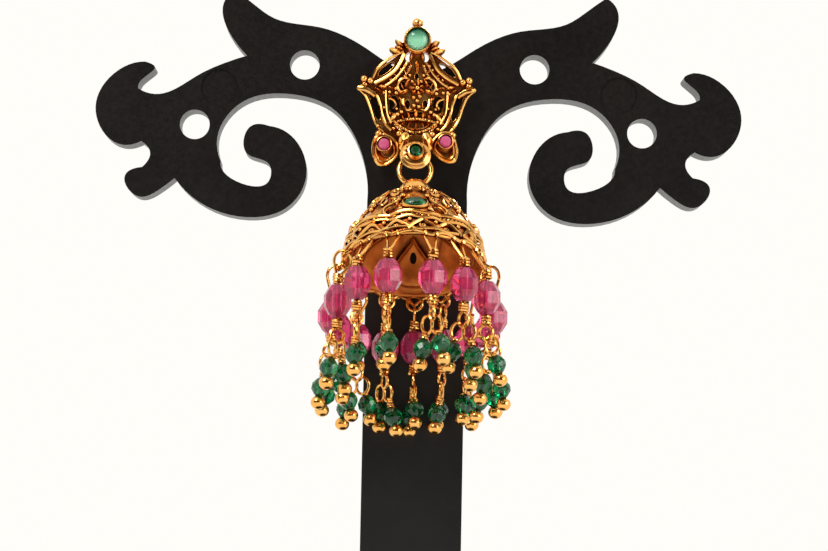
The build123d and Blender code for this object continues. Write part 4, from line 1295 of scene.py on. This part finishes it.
# The world is a soft light, but cream to the camera and where glass or polished metal shows it.
world = bpy.data.worlds.new("studio")
bpy.context.scene.world = world
world.use_nodes = True
ambient = world.node_tree.nodes["Background"]
ambient.inputs["Color"].default_value = WORLD_COLOUR
ambient.inputs["Strength"].default_value = WORLD_LIGHT
shown = add_node(world, "Background", {"Color": CREAM})
rays = add_node(world, "LightPath", {}).outputs
mirrored = {0: rays["Is Glossy Ray"], 1: rays["Is Transmission Ray"]}
mirrored = add_node(world, "Math", mirrored, operation="MAXIMUM").outputs["Value"]
seen = add_node(world, "Math", {0: rays["Is Camera Ray"], 1: mirrored}, operation="MAXIMUM").outputs["Value"]
lights = {"Fac": seen, 1: ambient.outputs["Background"], 2: shown.outputs["Background"]}
choice = add_node(world, "MixShader", lights)
world.node_tree.links.new(choice.outputs["Shader"], world.node_tree.nodes["World Output"].inputs["Surface"])

# A dark card behind the camera for painted reflections: it shows only in polished metal and glass.
CARD_WIDE = 1.15
CARD_LOW = 0.02
CARD_TALL = 1.2
CARD_AWAY = -0.62
CARD_DARK = (0.05, 0.022, 0.01, 1)
CARD_PALE = (0.3, 0.2, 0.13, 1)
CARD_FADE = (0.2, 0.9)
wall = new_finish("painted_reflection_card", CARD_DARK, Roughness=1.0, Specular_IOR_Level=0.0)
# Painted reflection: the card is dark low down and paler higher up, a painted highlight on the tops of the
# gold.
fade = add_range(wall, add_height(wall), 0, 1, *CARD_FADE)
feed(wall, "Base Color", add_mix(wall, fade, CARD_DARK, CARD_PALE))
corners = [(-CARD_WIDE, CARD_LOW), (CARD_WIDE, CARD_LOW), (CARD_WIDE, CARD_TALL), (-CARD_WIDE, CARD_TALL)]
room = add_card("painted_reflection_card", [(x, CARD_AWAY, z) for x, z in corners], wall)
room.visible_camera = False
room.visible_diffuse = False
room.visible_shadow = False
room.visible_transmission = False

AIM = Vector((-0.00023, -0.002, 0.0721))
LAMPS = {
    "key": dict(at=(-0.35, -0.45, 0.55), size=0.30, power=3.2),
    "fill": dict(at=(0.50, -0.40, 0.25), size=0.35, power=1.6),
    "back": dict(at=(0.15, 0.55, 0.50), size=0.30, power=2.2),
}


def look_at(thing, target):
    """Turn a lamp or the camera to a point."""
    thing.rotation_mode = "QUATERNION"
    thing.rotation_quaternion = (target - thing.location).to_track_quat("-Z", "Y")


for name, row in LAMPS.items():
    lamp = place_new(name, bpy.data.lights.new(name, "AREA"))
    lamp.data.size = row["size"]
    lamp.data.energy = row["power"]
    lamp.location = row["at"]
    look_at(lamp, AIM)

CAMERA_LENS = 104.2
CAMERA_DISTANCE = 0.3208
CAMERA_RISE = math.radians(-5)
CAMERA_ROUND = math.radians(-0.5)
CAMERA_ROLL = math.radians(1.12)
camera = place_new("camera", bpy.data.cameras.new("camera"))
camera.data.lens = CAMERA_LENS
camera.data.sensor_width = 36
camera.data.clip_start = 0.01
camera.data.clip_end = 10
level = Vector((math.sin(CAMERA_ROUND), -math.cos(CAMERA_ROUND), 0))
way = level * math.cos(CAMERA_RISE) + Vector((0, 0, math.sin(CAMERA_RISE)))
camera.location = AIM + way * CAMERA_DISTANCE
look_at(camera, AIM)
roll = Matrix.Rotation(CAMERA_ROLL, 3, "Z").to_quaternion()
camera.rotation_quaternion = camera.rotation_quaternion @ roll
bpy.context.scene.camera = camera
bpy.context.scene.view_settings.view_transform = "Standard"
